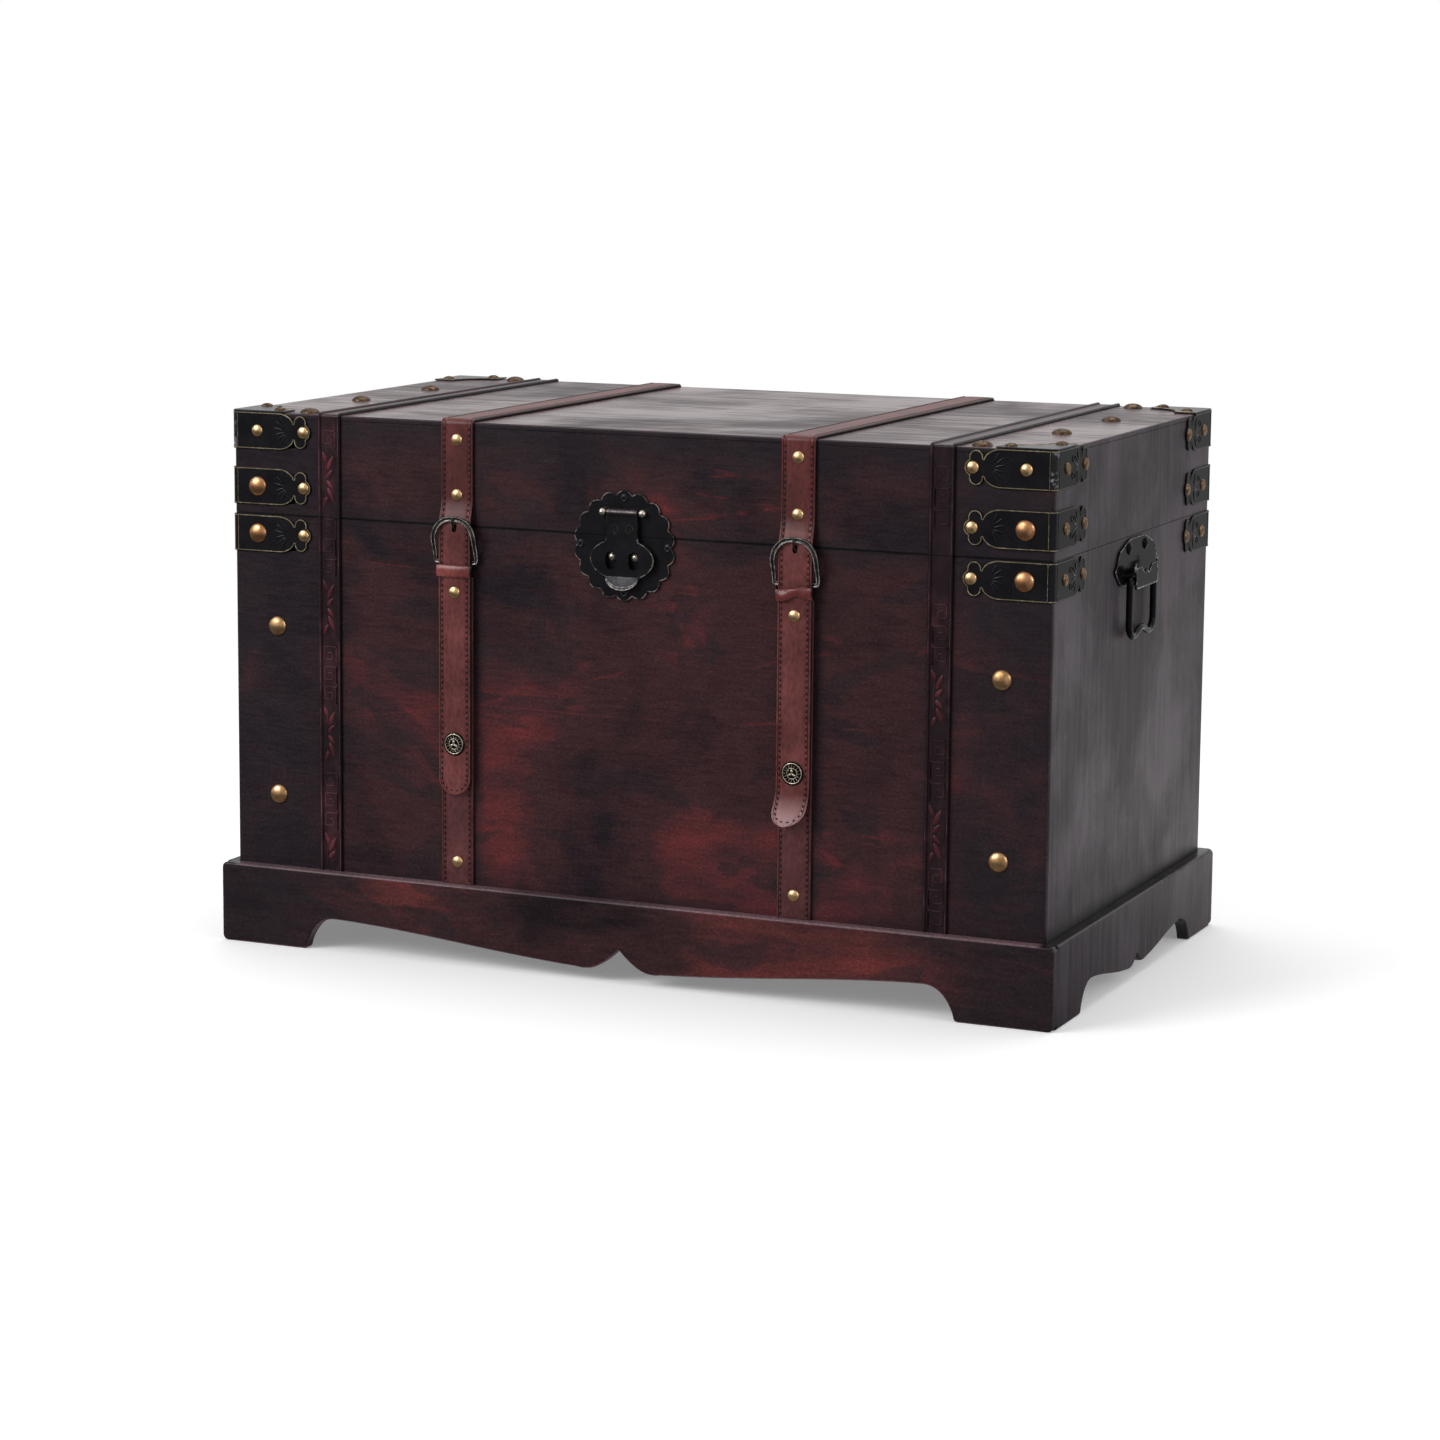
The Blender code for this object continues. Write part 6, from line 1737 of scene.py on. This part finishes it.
def build_handle(side, face):
    outer = FIT + SHEET
    outline = handle_outline()
    parts = [plate(f"handle_{side}_plate", face, outline, FIT, outer, GLOSS_BLACK, 0.0004)]
    parts.append(wire("handle_rim", face, inset(outline, 0.0006), outer, 0.00030, HANDLE_WEAR_AND_GLINT, True))
    for a in (-0.0190, 0.0190):
        parts.append(stud("dark", "handle_nail", face, a, HANDLE_PLATE_HIGH.z - 0.0070, outer))
    settle(joined(f"handle_plate_{side}_piece", parts), "case", f"handle_plate_{side}",
           slot="black_metal", angle=45)
    parts = []
    for way in (-1, 1):
        low, high = (face.point(way * 0.021 + end, HANDLE_AXIS, BAIL_OUT) for end in (-0.004, 0.004))
        eye = turned_bar("handle_eye", low, high, EYE, GLOSS_BLACK, 24)
        over = face.u * 0.002
        bore = turned_bar("handle_bore", low - over, high + over, BAIL + FIT, GLOSS_BLACK, 24)
        cut_out(eye, bore)
        parts.append(eye)
    half, drop, rise, notch = 0.025, 0.0062, 0.0095, 0.0055
    low, top = HANDLE_AXIS - drop, HANDLE_AXIS + rise
    right = [(half - 0.0008, low), (half, low + 0.0008), (half, top - 0.0012)]
    right += [(half - 0.0012, top), (0.0125, top), (0.0108, top - 0.0010), (0.0060, top - notch + 0.0006)]
    right += [(0.0045, top - notch), (0.0030, top - notch + 0.0006)]
    outline = [*right, (0, top - notch / 2), *[(-a, b) for a, b in reversed(right)]]
    back, front = BAIL_OUT + BAIL + FIT, BAIL_OUT + EYE
    parts.append(plate("clip_front", face, outline, back, front, GLOSS_BLACK, 0.0003))
    parts.append(wire("clip_rim", face, inset(outline, 0.0005), front, 0.00032, HANDLE_WEAR_AND_GLINT, True))
    lip = [(-half + 0.001, low + 0.0008), (half - 0.001, low + 0.0008)]
    parts.append(wire("clip_lip", face, lip, front - 0.0001, 0.0006, HANDLE_WEAR_AND_GLINT))
    for way, start, end in ((-1, 110, 240), (1, -60, 70)):
        ear = arc(way * (half - 0.0026), top - 0.0006, 0.0036, start, end, 12)
        parts.append(wire("clip_ear", face, ear, back + FIT, 0.0009, HANDLE_WEAR_AND_GLINT, False, 8))
    settle(joined(f"handle_clip_{side}_piece", parts), "case", f"handle_clip_{side}",
           slot="black_metal", angle=45)
    build_bail(side, face)


def build_bail(side, face):
    """The bail: a bar through the eyes, two legs, and a grip that rises a little in the middle."""
    half = BAIL_HIGH.y - BAIL
    bottom, corner, shoulder = -0.0405, 0.0100, 0.0032
    points = [(-half + shoulder + (2 * half - 2 * shoulder) * i / 10, 0.0) for i in range(11)]
    points += arc(half - shoulder, -shoulder, shoulder, 90, 0, 6)[1:]
    points += [(half, -0.012), (half, -0.021)]
    points += arc(half - corner, bottom + corner, corner, 0, -90, 10)
    span = half - corner
    for i in range(1, 20):
        t = i / 20
        points.append((span * (1 - 2 * t), bottom + 0.0046 * math.sin(math.pi * t) ** 2))
    points += arc(corner - half, bottom + corner, corner, -90, -180, 10)
    points += [(-half, -0.021), (-half, -0.012)]
    points += arc(shoulder - half, -shoulder, shoulder, 180, 90, 6)[:-1]
    path = [face.point(a, HANDLE_AXIS + b, BAIL_OUT) for a, b in points]

    def section(i, along):
        return oval(along.cross(face.out).normalized(), face.out, BAIL, BAIL, 16)

    piece = bar(f"handle_bail_{side}_bar", path, section, BAIL_BLACK, True)
    settle(piece, f"{side}_handle", f"handle_bail_{side}", slot="black_metal", angle=60)


# Back hinges


def build_hinges():
    """Butt hinges: two leaves with a three-part barrel, each with two screws."""
    barrel, knuckle, reach, corner = 0.0026, 0.0085, 0.020, 0.003
    thick, clear = FIT + SHEET, 0.0036
    for side in ("left", "right"):
        low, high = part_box(f"lid_hinge_leaf_{side}")
        centre, half = -(low.x + high.x) / 2, (high.x - low.x) / 2
        for part, way in (("lid", 1), ("case", -1)):
            # The lid's leaf carries the middle of the barrel and the case's its two ends
            end = knuckle - way * FIT
            outside, inside = (clear, FIT) if way > 0 else (FIT, clear)
            edge = [(-half, outside), (-end, outside), (-end, inside)]
            edge += [(-a, b) for a, b in reversed(edge)]
            ends = arc(half - corner, reach - corner, corner, 0, 90, 5)
            ends += [(-a, b) for a, b in reversed(ends)]
            outline = [(centre + a, SEAM + way * b) for a, b in edge + ends]
            parts = [plate("hinge_leaf", BACK, outline, FIT, thick, BLACK_METAL, 0.0003)]
            for a in (-half + 0.010, half - 0.010):
                parts.append(stud("screw", "hinge_screw", BACK, centre + a, SEAM + way * 0.0118, thick))
            for span in ([(-end, end)] if way > 0 else [(-half, -end), (end, half)]):
                start, stop = (BACK.point(centre + a, SEAM, FIT + barrel) for a in span)
                parts.append(turned_bar("hinge_barrel", start, stop, barrel, BLACK_METAL))
            settle(joined(f"{part}_hinge_{side}_piece", parts), part, f"{part}_hinge_leaf_{side}",
                   slot="black_metal", angle=45)


def build_chest():
    PATTERN.update(build_patterns())
    build_case()
    build_lid_boards()
    build_plinth()
    build_board_nails()
    build_trims()
    build_straps()
    for side, way in SIDES:
        build_buckle(side, way * STRAP_CENTRE)
        build_keeper(side, way * STRAP_CENTRE, KEEPER_TWIST[side])
        build_concho(side, way * STRAP_CENTRE)
    build_brackets()
    build_round_plate()
    build_flap()
    for side, face in END_FACES:
        build_handle(side, face)
    build_hinges()
    for pattern in PATTERN.values():
        bpy.data.objects.remove(pattern, do_unlink=True)


build_camera()
build_stage()
build_lights()
build_chest()

bpy.context.scene.view_settings.view_transform = "Standard"
